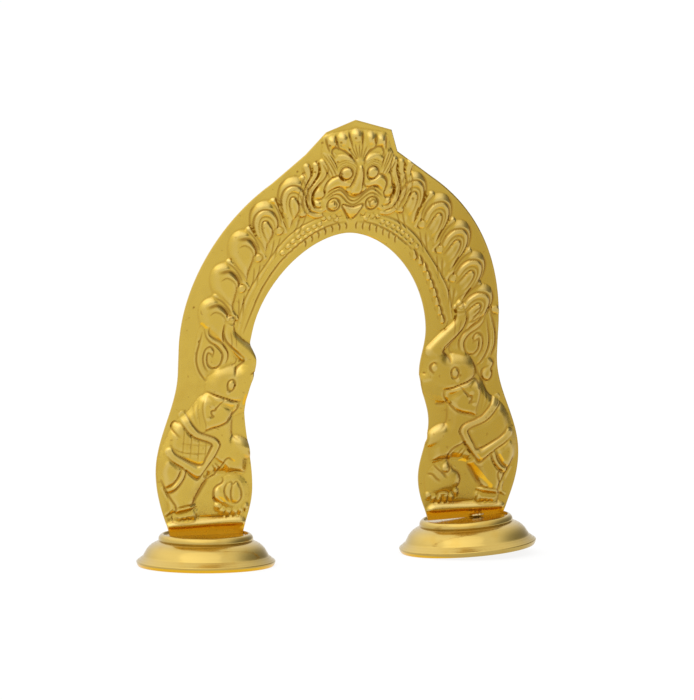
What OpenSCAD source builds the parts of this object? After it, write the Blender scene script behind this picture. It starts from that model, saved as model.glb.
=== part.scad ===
// Brass prabhavali: a stamped sheet arch that frames a small idol, soldered to two turned bases.
// X runs along the arch, the front faces -Y and Z is up. The origin is on the floor, midway
// between the bases. The sheet is drawn flat as [across, up from the feet, relief] and then stood up.

/* [Arch sheet] */
// Thickness of the brass sheet
sheet_t = 0.8; // [0.5:0.1:1.2]
// Height of the arch's springing above the feet
spring_h = 86; // [80:1:95]
// Half width of the opening at the springing
opening_w = 42; // [38:0.5:46]
// Rise of the opening above the springing
opening_rise = 47.8; // [42:0.1:52]
// Shape of the opening's arch, where 2 is an ellipse and less is more pointed
opening_power = 1.78; // [1.6:0.02:2.1]
// Half width of the sheet at the springing
shoulder_w = 76.2; // [70:0.1:82]
// Distance past the axis of the centre of each outer arc
arc_offset = 10; // [5:1:15]
// Sideways offset of the hand cut outline at mid height
cut_sway = 2.2; // [0:0.1:3]
// Height where that offset is greatest
sway_h = 80; // [75:1:85]
// Offset of the outer edge to the right
outline_shift = 0.9; // [0:0.1:1.4]

/* [Legs] */
// Distance of a foot's inner end from the axis
foot_in = 44.6; // [44.5:0.1:48]
// Distance of a foot's outer end from the axis
foot_out = 80; // [76:0.1:80.2]
// Length of the feet below the stamped design's zero
foot_drop = 1.4; // [0.5:0.1:2]
// Height of the fullest point on a leg's inner edge
hip_in_h = 19; // [15:1:26]
// Distance of the left leg's inner hip from the axis
hip_left_in = 40.6; // [36:0.1:43]
// Distance of the right leg's inner hip from the axis
hip_right_in = 39.2; // [36:0.1:43]
// Height of the fullest point on a leg's outer edge
hip_out_h = 28; // [22:1:34]
// Distance of the outer hip from the axis
hip_out = 86.9; // [84:0.1:90]
// Height where the taper of a leg's outer edge ends
taper_h = 74; // [68:1:80]
// Height of the waist on the left leg's inner edge
waist_left_h = 57; // [50:1:62]
// Height of the waist on the right leg's inner edge
waist_right_h = 45; // [40:1:52]
// Distance of the waists from the axis
waist_in = 44.2; // [42:0.1:47]
// Height of the left brow, where the inner edge comes in again
brow_left_h = 78; // [72:1:81]
// Height of the right brow
brow_right_h = 68; // [62:1:74]
// Distance of the brows from the axis
brow_in = 39.6; // [37:0.1:42]

/* [Crown] */
// Angle above the springing where the outer arc ends
arc_end = 62; // [56:1:66]
// Rise of the crown's necks above the springing
neck_rise = 84; // [82:0.5:87]
// Distance of the left neck from the axis
neck_left = 22.9; // [20:0.1:26]
// Distance of the right neck from the axis
neck_right = 20.6; // [19:0.1:26]
// Rise of the crown's corners above the springing
corner_rise = 93.9; // [91:0.1:96]
// Distance of the left corner from the axis
corner_left = 13.6; // [10:0.1:17]
// Distance of the right corner from the axis
corner_right = 17.2; // [12:0.1:18]
// Rise of the crown's peak above the springing
crown_rise = 99; // [97:0.5:104]

/* [Relief] */
// Height of the plain margin above the cut bottom edge
foot_margin = 3; // [2.5:0.5:4]
// Number of plumes on each side of the mask
plume_n = 5; // [4:1:6]
// Angle above the springing of the lowest plume's tip
plume_start = 17.4; // [14:0.1:22]
// Angle from one plume to the next
plume_step = 12.9; // [10:0.1:13]
// Distance of the lowest plume's tip from the springing centre
plume_r = 69.8; // [68:0.1:71]
// Growth of that distance from one plume to the next
plume_grow = 2.4; // [2:0.1:2.6]
// Turn of the lowest plume, whose tail would point up at 0
plume_turn = 157; // [145:1:165]
// Turn from one plume to the next
plume_fan = 6.4; // [5:0.1:8]
// Length of a plume
plume_l = 24; // [20:0.5:26]
// Width of a plume
plume_w = 13.8; // [10:0.1:15]
// Rise of a plume
plume_rise = 2.1; // [1:0.1:4]
// Width of the leaf beside a plume
leaf_w = 3.4; // [2:0.1:5]
// Rise of the leaf beside a plume
leaf_rise = 1.4; // [1:0.1:3]
// Offset of the stamped arch to the right of the legs
stamp_shift = 1.1; // [0:0.1:2]
// Width of the beaded border along the opening
border_w = 9; // [6:0.5:11]
// Rise of the border
border_rise = 0.8; // [0.5:0.1:1.5]

/* [Stance] */
// Forward lean of the sheet
lean = 9.3; // [0:0.1:12]
// Backward bow of the sheet at mid height
bow = 1.75; // [0:0.05:4]
// Sideways tilt of the sheet, right side up
tilt = 0.95; // [0:0.05:1.5]
// Distance of the feet behind the base centres
foot_back = 2; // [0:0.1:5]
// Lift of the right base's outer side, as it was soldered
right_cant = 4.4; // [0:0.1:6]
// Gap under the inner end of the right foot
right_gap = 0.8; // [0:0.1:1.2]
// Share of the right foot's width that stands clear of its base
right_clear = 0.55; // [0.3:0.05:0.7]

/* [Bases] */
// Distance of each base from the axis
base_x = 63; // [58:0.5:66]
// Height of a base to the crest of its bead
base_h = 14.2; // [13:0.1:18]
// Radius of the widest point of the lip
lip_r = 31; // [30:0.5:34]
// Radius of the flat ring under the lip
rest_r = 30.2; // [29.6:0.1:30.6]
// Height of the widest point of the lip
lip_h = 1.8; // [1.4:0.1:2.2]
// Radius at the foot of the dome
dome_r = 28; // [27:0.1:29]
// Height of the foot of the dome
dome_h = 4.4; // [4:0.1:5]
// Radius of the bead
bead_r = 21.1; // [20.6:0.1:23]
// Height of the bead
bead_h = 2.8; // [2:0.1:4]
// Depth of the groove under the bead
groove_d = 0.6; // [0.3:0.1:1]
// Bulge of the dome past a straight side
dome_bulge = 1.2; // [0.4:0.1:1.6]
// Depth of the dished top inside the bead
dish_d = 0.9; // [0.4:0.1:1.2]
// Wall of the hollow base
base_wall = 1.6; // [1:0.1:2.5]

/* [Solder] */
// Height of a solder seam up the sheet
solder_h = 2; // [1:0.1:2.4]
// Width of a solder seam on the base
solder_w = 2.4; // [1:0.1:3.5]
// Width of the blob in front of the right foot
blob_w = 3.4; // [2:0.1:5]

/* [Hidden] */

$fn = 96;
brass = "#c8a23c";
turned_brass = "#d2ae50";
solder_grey = "#b9a877";
left = -1;
right = 1;

// Cells across the sheet, rows up a leg, and rows in each stretch of half the arch
cells = 18;
leg_rows = 36;
arc_rows = 26;
flare_rows = 5;
shoulder_rows = 4;
peak_rows = 6;

// Blends between two values, straight and with level ends
function mix(a, b, f) = a + (b - a) * f;
function ease(a, b, f) = mix(a, b, (1 - cos(180 * f)) / 2);
function clamp(v) = min(1, max(0, v));
function share(v, a, b) = clamp((v - a) / (b - a));

// A leg's edges, as distances from the axis at height s
function leg_inner(side, s) =
    let (hip_in = side == left ? hip_left_in : hip_right_in,
         waist_h = side == left ? waist_left_h : waist_right_h,
         brow_h = side == left ? brow_left_h : brow_right_h)
    s < hip_in_h ? mix(foot_in, hip_in, sin(90 * clamp(s / hip_in_h)))
    : s < waist_h ? ease(hip_in, waist_in, share(s, hip_in_h, waist_h))
    : s < brow_h ? ease(waist_in, brow_in, share(s, waist_h, brow_h))
    : ease(brow_in, opening_w, share(s, brow_h, spring_h));
function leg_outer(s) =
    s < hip_out_h ? mix(foot_out, hip_out, sin(90 * clamp(s / hip_out_h)))
    : ease(hip_out, shoulder_w, share(s, hip_out_h, taper_h));

// The arch's edges, as distances from the springing centre at an angle above the springing
function opening_r(a) =
    pow(pow(abs(cos(a)) / opening_w, opening_power) + pow(sin(a) / opening_rise, opening_power),
        -1 / opening_power);
function arc_r(a) = let (big = shoulder_w + arc_offset)
    sqrt(big * big - pow(arc_offset * sin(a), 2)) - arc_offset * cos(a);
function edge_r(a, p, q) = cross(p, q - p) / cross([cos(a), sin(a)], q - p);

// Corners of the crown on one side, relative to the springing centre
function arc_tip() = arc_r(arc_end) * [cos(arc_end), sin(arc_end)];
function neck(side) = [side == left ? neck_left : neck_right, neck_rise];
function corner(side) = [side == left ? corner_left : corner_right, corner_rise];
peak = [0, crown_rise];
function bearing(p) = atan2(p.y, p.x);
function outer_r(side, a) =
    a <= arc_end ? arc_r(a)
    : a <= bearing(neck(side)) ? edge_r(a, arc_tip(), neck(side))
    : a <= bearing(corner(side)) ? edge_r(a, neck(side), corner(side))
    : edge_r(a, corner(side), peak);
function steps(a, b, n) = [for (i = [1:n]) mix(a, b, i / n)];
function arch_angles(side) = concat(
    steps(0, arc_end, arc_rows),
    steps(arc_end, bearing(neck(side)), flare_rows),
    steps(bearing(neck(side)), bearing(corner(side)), shoulder_rows),
    steps(bearing(corner(side)), 90, peak_rows));

// Height where each foot's centre line stands, and the plane of each base's top
seat_h = base_h - dish_d;
foot_mid = (foot_in + foot_out) / 2;
right_lift = rest_r * sin(right_cant);
sheet_z = seat_h + foot_drop + foot_mid * sin(tilt) * cos(lean);
function cant(side) = side == left ? 0 : right_cant;
function seat(side) = side == left ? [-base_x, seat_h]
    : [base_x - seat_h * sin(right_cant), right_lift + seat_h * cos(right_cant)];
// Height on the sheet where it meets the top of a base, at a distance x from the axis
function seat_s(side, x) = let (p = seat(side), k = tan(cant(side)))
    (p.y - sheet_z + (x * cos(tilt) - p.x) * k - x * sin(tilt) * cos(lean))
    / (cos(tilt) * cos(lean) + sin(tilt) * k);
touch_x = mix(foot_in, foot_out, right_clear);
function foot_s(side, x) = seat_s(side, x)
    + (side == left ? 0 : right_gap * clamp((touch_x - x) / (touch_x - foot_in)));

// Rows of [across, up] points on the sheet, from the opening to the outer edge
sheet_h = spring_h + crown_rise;
// Height over which the cut's sideways offset dies away
sway_reach = 70;
function drift(s, f) =
    outline_shift * f - cut_sway * pow(cos(90 * clamp(abs(s - sway_h) / sway_reach)), 2);
function leg_point(side, s, f) =
    [side * mix(leg_inner(side, s), leg_outer(s), f) + drift(s, f), s];
function foot_point(side, f) = let (p = leg_point(side, 0, f)) [p.x, foot_s(side, p.x)];
function leg_row(side, k) = let (s = mix(foot_margin, spring_h, (k - 1) / (leg_rows - 1)))
    [for (j = [0:cells]) k == 0 ? foot_point(side, j / cells) : leg_point(side, s, j / cells)];
function arch_point(side, a, f) =
    let (r = mix(opening_r(a), outer_r(side, a), f), s = spring_h + r * sin(a))
    [side * r * cos(a) + drift(s, f), s];
function half_rows(side) = concat(
    [for (k = [0:leg_rows]) leg_row(side, k)],
    [for (a = arch_angles(side)) [for (j = [0:cells]) arch_point(side, a, j / cells)]]);
function reversed(v) = [for (i = [len(v) - 1:-1:0]) v[i]];
// The left half ends on the axis, so the right half leaves that row out
rows = let (r = reversed(half_rows(right)))
    concat(half_rows(left), [for (i = [1:len(r) - 1]) r[i]]);

// Raised forms as outlines of [across, up] points, with their rise and the width of their shoulder
body = [[51.3, 53.5], [51, 44], [46.3, 39.6], [43.8, 33], [45.6, 25.6], [60, 25.8], [64.3, 22.8],
        [69.5, 12.5], [78.8, 12], [84, 22.5], [86.2, 28], [83.3, 42], [77, 52.5], [70, 59], [66, 63],
        [58, 62], [53, 58]];
head = [[37, 63], [38.8, 76], [41, 80], [46, 80.5], [50.2, 75.2], [57.5, 75.9], [61.8, 74], [64.3, 70],
        [64.5, 64], [62, 58], [55, 56], [49, 57], [44, 58]];
jaw = [[36, 66], [38, 60], [43, 55.5], [51.7, 52.9], [53, 63], [46, 68]];
hind_foot = [[66.9, 10.6], [66.2, 7], [67, 5], [72, 4.2], [76, 4.4], [77.8, 6.6], [77.8, 9.2], [72, 10.7]];
ledge = [[44.5, 2.3], [79.4, 2.1], [79, 5.6], [62, 6.2], [46.5, 6.4]];
scroll = [[53, 77], [53, 82], [57, 87], [66, 95.5], [69.5, 93], [71, 80], [67, 70], [62, 73]];
elephant_masses = [[body, 2.2, 4.4], [head, 2.8, 5.6], [jaw, 1.9, 6], [hind_foot, 1.8, 3.2],
                   [ledge, 1.8, 2.1], [scroll, 0.7, 3]];
mask_edge = [[-16, 174], [-14.5, 178.5], [0, 181], [14.5, 178.5], [16, 174], [19, 160], [17.5, 152],
             [15.5, 146], [10, 143], [3, 141], [-10, 143], [-17, 152]];
mane = [[16, 166], [25.5, 165], [26.5, 152], [24.5, 144], [18, 141], [12.5, 143.5], [15, 146], [18, 152],
        [16.5, 160]];
mask_masses = [[mask_edge, 1.4, 3.4], [mane, 1.4, 2]];
// A plume's outline in shares of its width and length, with its tip at 0 and its tail up
plume = [for (p = [[-0.28, 0.04], [0, 0], [0.25, 0.06], [0.41, 0.21], [0.45, 0.4], [0.38, 0.56],
                   [0.26, 0.71], [0, 1], [-0.18, 0.83], [-0.4, 0.63], [-0.54, 0.48], [-0.55, 0.35],
                   [-0.46, 0.19]]) [p.x * plume_w, p.y * plume_l]];
plume_shoulder = 4;
leaf = [for (p = [[-0.33, 0.04], [-0.51, 0.3], [-0.75, 0.65]]) [p.x * plume_w, p.y * plume_l]];

// Forms laid on the body: the ear, the saddle cloth, and the notch under the belly
ear = [[49.6, 59.2], [55.5, 61], [64, 64], [66.6, 61], [67, 56], [65, 47], [59, 48.5], [53.5, 51.6],
       [49.9, 56.2]];
saddle = [[73.6, 55.2], [68.4, 47.4], [59.6, 43.2], [57.5, 40.4], [61.4, 32.2], [68, 24.8], [74.2, 29.8],
          [82, 36], [80.6, 46], [78, 52.5]];
notch = [[60.5, 34.6], [54.4, 31.2], [53.4, 29], [54.2, 26.4], [62.5, 24.2], [65.5, 27.5]];
pads = [[ear, 0.7, 1.2], [saddle, 0.6, 1.2], [notch, -1.2, 1.4]];

// Domes: [across, up, half length, half width, turn, rise, power]
mask_domes = [
    [0, 160.5, 17, 15, 0, 3.2, 1],          // face
    [0, 157.5, 7, 2.6, 90, 4, 0.7],         // nose
    [9, 156.5, 6, 3.4, 10, 3.4, 1],         // cheeks
    [0, 143.5, 3.8, 4.5, 0, 1.9, 0.7],      // tongue
    [9.2, 147.2, 3, 2.9, 0, 2.3, 0.7],      // curls
    [0, 175, 14, 4.6, 0, 2, 0.6],           // hair
    [0, 178, 2.9, 2.7, 90, 2.6, 0.6],       // locks of hair
    [6.8, 176.8, 2.6, 2.4, 90, 2.5, 0.6],
    [11.4, 175.8, 2.4, 2.3, 90, 2.4, 0.6]];
elephant_domes = [
    [47.6, 38, 7, 4.6, 35, 2.8, 0.8],       // knee
    [54.6, 97.2, 2.8, 2.2, 0, 1.9, 0.6],    // trunk's tip
    [50.4, 17, 9, 8.2, 80, 1.9, 0.9],       // lotus
    [56.8, 16.6, 3.6, 2.6, 70, 1.5, 0.8]];  // its side petal
trunk = [[43, 77], [47.5, 81.8], [51.3, 85.2], [54.4, 88.5], [55.8, 92], [55.6, 96]];
trunk_w = [8, 5.4];
trunk_rise = [2.6, 1.7];

// Distance of a point from a line's part a to b, as [gap, share along the part]
function part_gap(p, a, b) = let (d = b - a, f = clamp((p - a) * d / (d * d))) [norm(p - a - d * f), f];
function next(v, i) = v[(i + 1) % len(v)];
function edge_gap(p, v) = min([for (i = [0:len(v) - 1]) part_gap(p, v[i], next(v, i))[0]]);
function crossed(p, a, b) = (a.y > p.y) != (b.y > p.y)
    && p.x < a.x + (p.y - a.y) * (b.x - a.x) / (b.y - a.y);
function inside(p, v) = len([for (i = [0:len(v) - 1]) if (crossed(p, v[i], next(v, i))) i]) % 2 == 1;
// A body with a quarter sine shoulder, and a limb that tapers in width and rise
function mass(p, m) = inside(p, m[0]) ? m[1] * sin(90 * clamp(edge_gap(p, m[0]) / m[2])) : 0;
function limb(p, v, wide, rise) = max([for (i = [0:len(v) - 2])
    let (g = part_gap(p, v[i], v[i + 1]), f = (i + g[1]) / (len(v) - 1))
    mix(rise[0], rise[1], f) * pow(max(0, 1 - pow(2 * g[0] / mix(wide[0], wide[1], f), 2)), 0.6)]);
function dome(p, d) =
    let (g = [p.x - d[0], p.y - d[1]],
         u = (g.x * cos(d[4]) + g.y * sin(d[4])) / d[2],
         w = (g.y * cos(d[4]) - g.x * sin(d[4])) / d[3])
    d[5] * pow(max(0, 1 - u * u - w * w), d[6]);
// A point in a plume's own axes
function plume_tip(k) = let (a = plume_start + k * plume_step, r = plume_r + k * plume_grow)
    [r * cos(a), spring_h + r * sin(a)];
function plume_axes(p, k) = let (d = p - plume_tip(k), t = plume_turn + k * plume_fan)
    [-d.x * cos(t) - d.y * sin(t), d.y * cos(t) - d.x * sin(t)];
function border(p) = let (r = norm([p.x, p.y - spring_h]), a = bearing([p.x, p.y - spring_h]))
    p.y < spring_h ? 0 : border_rise * sin(180 * clamp((r - opening_r(a)) / border_w));
function sum(v) = v * [for (i = v) 1];
// Heights between which the stamped arch's sideways offset sets in
shift_from = 60;
shift_to = 105;
// The relief over a flat point: the highest of the forms there, and what is laid on it
function relief(x, s) = s <= foot_margin ? 0
    : let (p = [abs(x - stamp_shift * share(s, shift_from, shift_to)), s])
      max(concat([border(p), limb(p, trunk, trunk_w, trunk_rise)],
                 [for (m = concat(mask_masses, elephant_masses)) mass(p, m)],
                 [for (d = concat(mask_domes, elephant_domes)) dome(p, d)],
                 [for (k = [0:plume_n - 1]) let (q = plume_axes(p, k))
                     max(mass(q, [plume, plume_rise, plume_shoulder]),
                         limb(q, leaf, [leaf_w, leaf_w / 2], [leaf_rise, leaf_rise / 3]))]))
      + sum([for (m = pads) mass(p, m)]);

// Stands a flat point up: tilts it sideways, leans it forward and sets it on the bases
function stand(x, s, h) =
    let (along = x * cos(tilt) - s * sin(tilt), up = s * cos(tilt) + x * sin(tilt), q = s / sheet_h)
    [along, foot_back - up * sin(lean) + bow * 4 * q * (1 - q) - h * cos(lean),
     sheet_z + up * cos(lean) - h * sin(lean)];
front = [for (row = rows) [for (p = row) stand(p.x, p.y, relief(p.x, p.y))]];
back = [for (row = front) [for (p = row) p + [0, sheet_t, 0]]];

// One sheet of points as two triangles a cell, and the strip that closes its edge
function flat(v) = [for (row = v) each row];
function at(i, j) = i * (cells + 1) + j;
function cell_faces(n, base, turn) = [for (i = [0:n - 2], j = [0:cells - 1])
    let (a = base + at(i, j), b = base + at(i, j + 1), c = base + at(i + 1, j + 1), d = base + at(i + 1, j))
    each (turn ? [[a, b, c], [a, c, d]] : [[a, c, b], [a, d, c]])];
function rim(n) = concat(
    [for (j = [0:cells]) at(0, j)],
    [for (i = [1:n - 1]) at(i, cells)],
    [for (j = [cells - 1:-1:0]) at(n - 1, j)],
    [for (i = [n - 2:-1:1]) at(i, 0)]);
function rim_faces(n) = let (r = rim(n), m = len(r), far = n * (cells + 1))
    [for (i = [0:m - 1]) let (a = r[i], b = r[(i + 1) % m])
        each [[b, a, b + far], [b + far, a, a + far]]];

module arch_sheet() {
    n = len(front);
    color(brass)
        polyhedron(concat(flat(front), flat(back)),
                   concat(cell_faces(n, 0, true), cell_faces(n, n * (cells + 1), false), rim_faces(n)));
}

// A base's outline from the middle of its top to the floor, then back up inside the wall
arc_steps = 8;
bead_top_r = bead_r - bead_h / 2;
neck_h = base_h - bead_h;
neck_r = bead_r - groove_d;
function bead_profile() = [for (i = [0:arc_steps]) let (a = 90 - 180 * i / arc_steps)
    [bead_top_r + bead_h / 2 * cos(a), base_h - bead_h / 2 + bead_h / 2 * sin(a)]];
function dome_profile(inset) = let (p = [neck_r, neck_h], q = [dome_r, dome_h], d = q - p)
    [for (i = [0:arc_steps]) let (f = i / arc_steps)
        p + d * f + [-d.y, d.x] / norm(d) * (dome_bulge * sin(180 * f) - inset)];
function lip_profile() = [
    [mix(dome_r, lip_r, 0.35), mix(dome_h, lip_h, 0.45)],
    [mix(dome_r, lip_r, 0.75), mix(dome_h, lip_h, 0.5)],
    [lip_r, lip_h],
    [mix(rest_r, lip_r, 0.8), lip_h * 0.4],
    [rest_r, 0],
    [rest_r - base_wall, 0]];
dish_r = bead_top_r - dish_d / 2;
roof_h = seat_h - base_wall;
function hollow_profile() = let (v = reversed(dome_profile(base_wall)))
    [for (p = v) if (p.y < roof_h - base_wall / 2) p];
module base_shape() {
    rotate_extrude()
        polygon(concat([[0, seat_h], [dish_r, seat_h]], bead_profile(), dome_profile(0), lip_profile(),
                       hollow_profile(), [[neck_r - 2 * base_wall, roof_h], [0, roof_h]]));
}

module left_base() {
    color(turned_brass)
        translate([-base_x, 0, 0])
            base_shape();
}

module right_base() {
    color(turned_brass)
        translate([base_x, 0, right_lift])
            rotate([0, -right_cant, 0])
                base_shape();
}

// A seam of solder in the corner between the sheet and a base, along cells a to b of a foot's row.
// It swells to full size in the middle; outward is 1 behind the sheet and -1 in front of it.
function row_of(side) = side == left ? [0, 1] : [len(front) - 1, len(front) - 2];
module seam(side, a, b, high, wide, outward) {
    face = outward > 0 ? back : front;
    row = row_of(side);
    count = b - a + 1;
    swell = [for (j = [a:b]) mix(0.35, 1, sin(180 * (j - a + 0.5) / count))];
    ring = [for (j = [a:b])
        let (foot = face[row[0]][j], up = face[row[1]][j] - foot, f = swell[j - a],
             top = foot + up * (high * f / norm(up)), toe = foot + [0, outward * wide * f, 0])
        each [foot, top, mix(mix(top, toe, 0.5), foot, -0.12), toe]];
    flip = (side == left) != (outward > 0);
    sides = [for (i = [0:count - 2], k = [0:3])
        let (p = 4 * i + k, q = 4 * i + (k + 1) % 4)
        each [[p, q, q + 4], [p, q + 4, p + 4]]];
    end = 4 * (count - 1);
    caps = [[2, 1, 0], [3, 2, 0], [end, end + 1, end + 2], [end, end + 2, end + 3]];
    faces = concat(sides, caps);
    color(solder_grey)
        polyhedron(ring, flip ? faces : [for (v = faces) reversed(v)]);
}

first_touch = ceil(right_clear * cells);
module left_rear_solder() { seam(left, 2, cells - 2, solder_h, solder_w, 1); }
module right_rear_solder() { seam(right, first_touch, cells - 1, solder_h, solder_w, 1); }
module right_front_solder() { seam(right, first_touch, first_touch + 3, solder_h, blob_w, -1); }

arch_sheet();
left_base();
right_base();
left_rear_solder();
right_rear_solder();
right_front_solder();
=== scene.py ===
"""A brass prabhavali: one stamped sheet arch soldered to two turned bases.

The sheet is drawn flat in millimetres as (across, up), with the axis and the feet at 0. It is raised by a
relief that is built stroke by stroke, and then stood up on the bases, in metres.
"""

import bmesh
import bpy
import numpy as np
from bpy.props import FloatProperty, FloatVectorProperty, PointerProperty
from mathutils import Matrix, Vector


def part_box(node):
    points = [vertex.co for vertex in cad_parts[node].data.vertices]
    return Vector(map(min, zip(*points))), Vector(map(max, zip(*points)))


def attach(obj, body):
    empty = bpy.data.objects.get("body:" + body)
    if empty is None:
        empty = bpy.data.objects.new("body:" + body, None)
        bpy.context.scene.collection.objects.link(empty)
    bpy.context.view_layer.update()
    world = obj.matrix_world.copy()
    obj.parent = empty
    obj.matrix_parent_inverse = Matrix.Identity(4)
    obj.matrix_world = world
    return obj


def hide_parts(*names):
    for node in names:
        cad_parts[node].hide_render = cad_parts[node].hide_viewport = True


bl_info = {
    "name": "Brass Prabhavali",
    "version": (1, 0, 0),
    "blender": (4, 5, 0),
    "location": "View3D > Sidebar > Prabhavali",
    "description": "Builds a stamped brass arch with a mask, plumes and elephants on two turned bases",
    "category": "Object",
}

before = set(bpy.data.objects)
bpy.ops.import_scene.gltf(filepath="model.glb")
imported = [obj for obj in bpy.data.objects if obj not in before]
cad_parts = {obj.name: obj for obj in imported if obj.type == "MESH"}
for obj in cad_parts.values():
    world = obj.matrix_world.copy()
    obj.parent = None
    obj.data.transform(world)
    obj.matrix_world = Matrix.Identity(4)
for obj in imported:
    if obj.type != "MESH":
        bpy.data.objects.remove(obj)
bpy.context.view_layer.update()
MM = 0.001
LEFT, RIGHT = -1, 1

LEFT_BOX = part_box("left_base")
LIP_INSET = 0.06 * MM
BASE_X = -(LEFT_BOX[0][0] + LEFT_BOX[1][0]) / 2
LIP_RADIUS = (LEFT_BOX[1][0] - LEFT_BOX[0][0]) / 2 - LIP_INSET
BASE_HEIGHT = LEFT_BOX[1][2] - LEFT_BOX[0][2]


def millimetres(name, description, default):
    """A length, with its default in millimetres."""
    return FloatProperty(name=name, description=description, default=default * MM, unit="LENGTH")


def degrees(name, description, default):
    """An angle, with its default in degrees."""
    return FloatProperty(name=name, description=description, default=np.radians(default), subtype="ANGLE")


def fraction(name, description, default):
    """A strength or a roughness, as a share of 1."""
    return FloatProperty(name=name, description=description, default=default, subtype="FACTOR")


def shade(name, description, default):
    """A colour."""
    return FloatVectorProperty(
        name=name, description=description, default=default, subtype="COLOR", min=0, max=1)


class PrabhavaliSheet(bpy.types.PropertyGroup):
    """Sizes of the stamped sheet."""

    thickness: millimetres("Thickness", "Thickness of the brass sheet", 0.8)
    spring_height: millimetres("Springing", "Height of the springing above the feet, along the sheet", 86)
    opening_width: millimetres("Opening half width", "Half width of the opening at the springing", 42)
    opening_rise: millimetres("Opening rise", "Rise of the opening above the springing", 47.8)
    opening_power: FloatProperty(
        name="Opening shape", description="2 is an ellipse, and less is more pointed", default=1.78)
    shoulder_width: millimetres("Shoulder half width", "Half width of the sheet at the springing", 76.2)
    arc_offset: millimetres("Arc offset", "Distance past the axis of the centre of each outer arc", 10)
    cut_sway: millimetres("Cut sway", "Sideways offset of the hand cut outline at mid height", 2.2)
    outline_shift: millimetres("Outline shift", "Offset of the outer edge to the right", 0.9)
    lean: degrees("Lean", "Forward lean of the sheet", 9.3)
    tilt: degrees("Tilt", "Sideways tilt of the sheet, right side up", 0.95)
    bow: millimetres("Bow", "Backward bow of the sheet at mid height", 1.75)
    foot_back: millimetres("Foot setback", "Distance of the feet behind the base centres", 2)
    foot_drop: millimetres("Foot drop", "Length of the feet below the stamped design's zero", 1.4)
    right_gap: millimetres("Right foot gap", "Gap under the inner end of the right foot", 0.8)
    edge_roll: millimetres("Edge roll", "How far the sheared edges roll back", 0.35)
    relief: fraction("Relief", "Strength of the stamped relief", 1)


class PrabhavaliBases(bpy.types.PropertyGroup):
    """Sizes of the two turned bases."""

    spacing: millimetres("Distance", "Distance of each base from the axis", BASE_X / MM)
    height: millimetres("Height", "Height to the top of the collar", BASE_HEIGHT / MM)
    lip_radius: millimetres("Lip radius", "Radius of the widest point", LIP_RADIUS / MM)
    rest_radius: millimetres("Ring radius", "Radius of the flat ring under the lip", 30.2)
    collar_radius: millimetres("Collar radius", "Radius of the collar", 21.1)
    collar_height: millimetres("Collar height", "Height of the collar", 2.8)
    dish_depth: millimetres("Dish depth", "Depth of the dished top", 0.9)
    wall: millimetres("Wall", "Wall of the hollow base", 1.6)
    cant: degrees("Right cant", "Lift of the right base's outer side, as it was soldered", 4.4)


class PrabhavaliFinish(bpy.types.PropertyGroup):
    """Colours and polish of the brass."""

    sheet_color: shade("Sheet", "Colour of the polished sheet", (0.61, 0.415, 0.058))
    # Paler crests from wear and painted highlight, and paler faces turned up from painted highlight
    wear_and_highlight_color: shade("High spots", "Colour where the relief is rubbed bright", (0.7, 0.53, 0.19))
    # Random tarnish, and painted shade in the hollows of the relief
    tarnish_and_hollow_shade_color: shade("Hollows", "Colour of the tarnish in the hollows", (0.46, 0.26, 0.02))
    # Painted warm reflection on faces that turn down, and under the bases' lips
    painted_reflection_color: shade("Undersides", "Warm colour where a form turns down", (0.86, 0.47, 0.006))
    # Painted shade: the sheet grows darker towards the right, where less light falls
    painted_right_shade_color: shade("Right side", "Tarnish that grows towards the right", (0.32, 0.185, 0.006))
    # Tarnish in the stamped lines and specks, with painted shade in the lines by their depth
    stain_color: shade("Lines", "Colour of the tarnish in the stamped lines", (0.3, 0.145, 0.007))
    base_color: shade("Bases", "Colour of the turned bases", (0.49, 0.345, 0.092))
    solder_color: shade("Solder", "Colour of the solder", (0.62, 0.5, 0.26))
    sheet_roughness: fraction("Sheet roughness", "Roughness of the sheet", 0.26)
    base_roughness: fraction("Base roughness", "Roughness of the bases", 0.18)


class PrabhavaliStage(bpy.types.PropertyGroup):
    """Camera, light and floor."""

    turn: degrees("Turn", "Turn of the camera to the object's left", 21.5)
    elevation: degrees("Elevation", "Height of the camera above the horizon", 5.2)
    distance: millimetres("Distance", "Distance of the camera from its aim", 3124.8)
    aim_height: millimetres("Aim", "Height that the camera is aimed at", 100)
    lens: FloatProperty(
        name="Lens", description="Focal length on a 36 mm sensor", default=360, unit="CAMERA")
    floor_color: shade("Floor", "Colour of the floor", (0.9, 0.9, 0.9))


# Points of the flat sheet: (up, out) on a leg's edges, and (out, up from the springing) on the arch
FOOT_INNER, FOOT_OUTER = 44.6, 80
LEG_INNER = {
    LEFT: ((0, FOOT_INNER), (19, 40.6), (57, 44.2), (78, 39.6), (86, 42)),
    RIGHT: ((0, FOOT_INNER), (19, 39.2), (45, 44.2), (68, 39.6), (86, 42))}
LEG_OUTER = ((0, FOOT_OUTER), (28, 86.9), (74, 76.2))
ARC_END = np.radians(62)
NECK = {LEFT: (22.9, 84), RIGHT: (20.6, 84)}
CORNER = {LEFT: (13.6, 93.9), RIGHT: (17.2, 93.9)}
PEAK = (0, 99)

# The trimmed feet: height of the trim, and how far out the right foot's wedge ends
FOOT_MARGIN = 3
RIGHT_CLEAR = 0.55

# Sideways wander of the cut outline, of the stamped design and of the mask
SWAY_HEIGHT, SWAY_REACH = 80, 70
STAMP_SHIFT = 1.1
SHIFT_FROM, SHIFT_TO = 60, 105
MASK_LEAST, MASK_SWAY, MASK_HEIGHT, MASK_REACH = 0.9, 2.3, 163, 9.5

# Rows and columns of the sheet's front: foot margin, leg, and the stretches of half the arch
MARGIN_ROWS, LEG_ROWS = 5, 164
ARC_ROWS, FLARE_ROWS, SHOULDER_ROWS, PEAK_ROWS = 128, 30, 20, 34
COLUMNS = 100
BACK_STEP = 2
CURVE_STEPS = 6

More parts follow.
